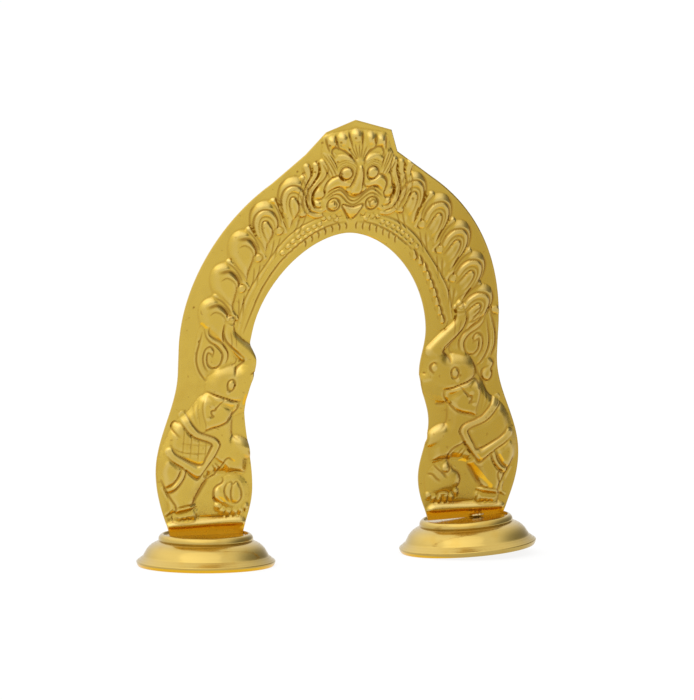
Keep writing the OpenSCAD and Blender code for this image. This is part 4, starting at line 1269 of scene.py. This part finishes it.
class PRABHAVALI_OT_stage(bpy.types.Operator):
    """Set up the camera, the lights and the floor"""

    bl_idname = "prabhavali.stage"
    bl_label = "Set up stage"

    def execute(self, context):
        scene, stage = context.scene, context.scene.prabhavali_stage
        scene.view_settings.view_transform = "Standard"
        self.add_camera(scene, stage)
        self.light_world(scene)
        self.add_lamp(scene)
        self.add_floor(scene, stage)
        return {"FINISHED"}

    def add_camera(self, scene, stage):
        """A long lens from the photo's side, shifted to frame the object as the photo does."""
        c, n = np.cos(stage.elevation), np.sin(stage.elevation)
        view = Vector((np.sin(stage.turn) * c, np.cos(stage.turn) * c, -n))
        lens = bpy.data.cameras.new("photo_camera")
        lens.lens, lens.sensor_width = stage.lens, SENSOR
        lens.shift_x, lens.shift_y = SHIFT_ACROSS / PICTURE_SIDE, SHIFT_UP / PICTURE_SIDE
        lens.clip_end = CLIP_END
        camera = bpy.data.objects.new("photo_camera", lens)
        camera.location = Vector((0, 0, stage.aim_height)) - view * stage.distance
        camera.rotation_euler = facing_along(view)
        scene.collection.objects.link(camera)
        scene.camera = camera

    def light_world(self, scene):
        """A pale room, brighter overhead and on the left and dim on the right: a product of ramps."""
        world = bpy.data.worlds.new("studio")
        scene.world = world
        world.use_nodes = True
        tree = world.node_tree
        parts = split(tree, coordinates(tree, "Generated"))
        level, *others = [ramp(tree, parts[axis], *steps) for axis, *steps in ROOM_LIGHT]
        for other in others:
            level = combine(tree, "MULTIPLY", level, other)
        feed(tree, tree.nodes["Background"], {"Color": (1, 1, 1, 1), "Strength": level})

    def add_lamp(self, scene):
        """A wide soft lamp above the left front."""
        lamp = bpy.data.lights.new("top_softbox", "AREA")
        lamp.shape, lamp.size, lamp.energy = "DISK", LAMP_SIZE, LAMP_POWER
        holder = bpy.data.objects.new("top_softbox", lamp)
        holder.location = LAMP_PLACE
        holder.rotation_euler = facing_along(LAMP_AIM - LAMP_PLACE)
        holder.visible_camera = False
        scene.collection.objects.link(holder)

    def add_floor(self, scene, stage):
        """A white floor that keeps a little of the object's shadow."""
        half = FLOOR_HALF
        corners = [(-half, -half, 0), (half, -half, 0), (half, half, 0), (-half, half, 0)]
        mesh = bpy.data.meshes.new("floor")
        mesh.from_pydata(corners, [], [(0, 1, 2, 3)])
        material, tree, shader = new_material("floor")
        feed(tree, shader, {"Base Color": (*stage.floor_color, 1), "Roughness": 1})
        rays = add_node(tree, "ShaderNodeLightPath", {})
        seen = rays["Is Camera Ray"]
        for ray in ("Is Glossy Ray", "Is Transmission Ray"):
            seen = combine(tree, "MAXIMUM", seen, rays[ray])
        white = add_node(tree, "ShaderNodeEmission", {})[0]
        whiteness = combine(tree, "MULTIPLY", seen, FLOOR_WHITE)
        blend = add_node(tree, "ShaderNodeMixShader", {0: whiteness, 1: shader.outputs[0], 2: white})[0]
        feed(tree, tree.nodes["Material Output"], {0: blend})
        mesh.materials.append(material)
        floor = bpy.data.objects.new("floor", mesh)
        scene.collection.objects.link(floor)


class PRABHAVALI_PT_panel(bpy.types.Panel):
    """Sizes, finishes and steps of the prabhavali"""

    bl_idname = "PRABHAVALI_PT_panel"
    bl_label = "Prabhavali"
    bl_space_type = "VIEW_3D"
    bl_region_type = "UI"
    bl_category = "Prabhavali"

    def draw(self, context):
        for step in STEPS:
            self.layout.operator(step.bl_idname)
        for name in GROUPS:
            group = getattr(context.scene, name)
            for key in group.__annotations__:
                self.layout.prop(group, key)


GROUPS = {
    "prabhavali_sheet": PrabhavaliSheet,
    "prabhavali_bases": PrabhavaliBases,
    "prabhavali_finish": PrabhavaliFinish,
    "prabhavali_stage": PrabhavaliStage,
}
STEPS = (PRABHAVALI_OT_stage, PRABHAVALI_OT_bases, PRABHAVALI_OT_sheet, PRABHAVALI_OT_solder)


def register():
    for cls in (*GROUPS.values(), *STEPS, PRABHAVALI_PT_panel):
        bpy.utils.register_class(cls)
    for name, group in GROUPS.items():
        setattr(bpy.types.Scene, name, PointerProperty(type=group))


def unregister():
    for name in GROUPS:
        delattr(bpy.types.Scene, name)
    for cls in (PRABHAVALI_PT_panel, *reversed(STEPS), *reversed(GROUPS.values())):
        bpy.utils.unregister_class(cls)


def main():
    register()
    for step in STEPS:
        group, name = step.bl_idname.split(".")
        getattr(getattr(bpy.ops, group), name)()


if __name__ == "__main__":
    main()
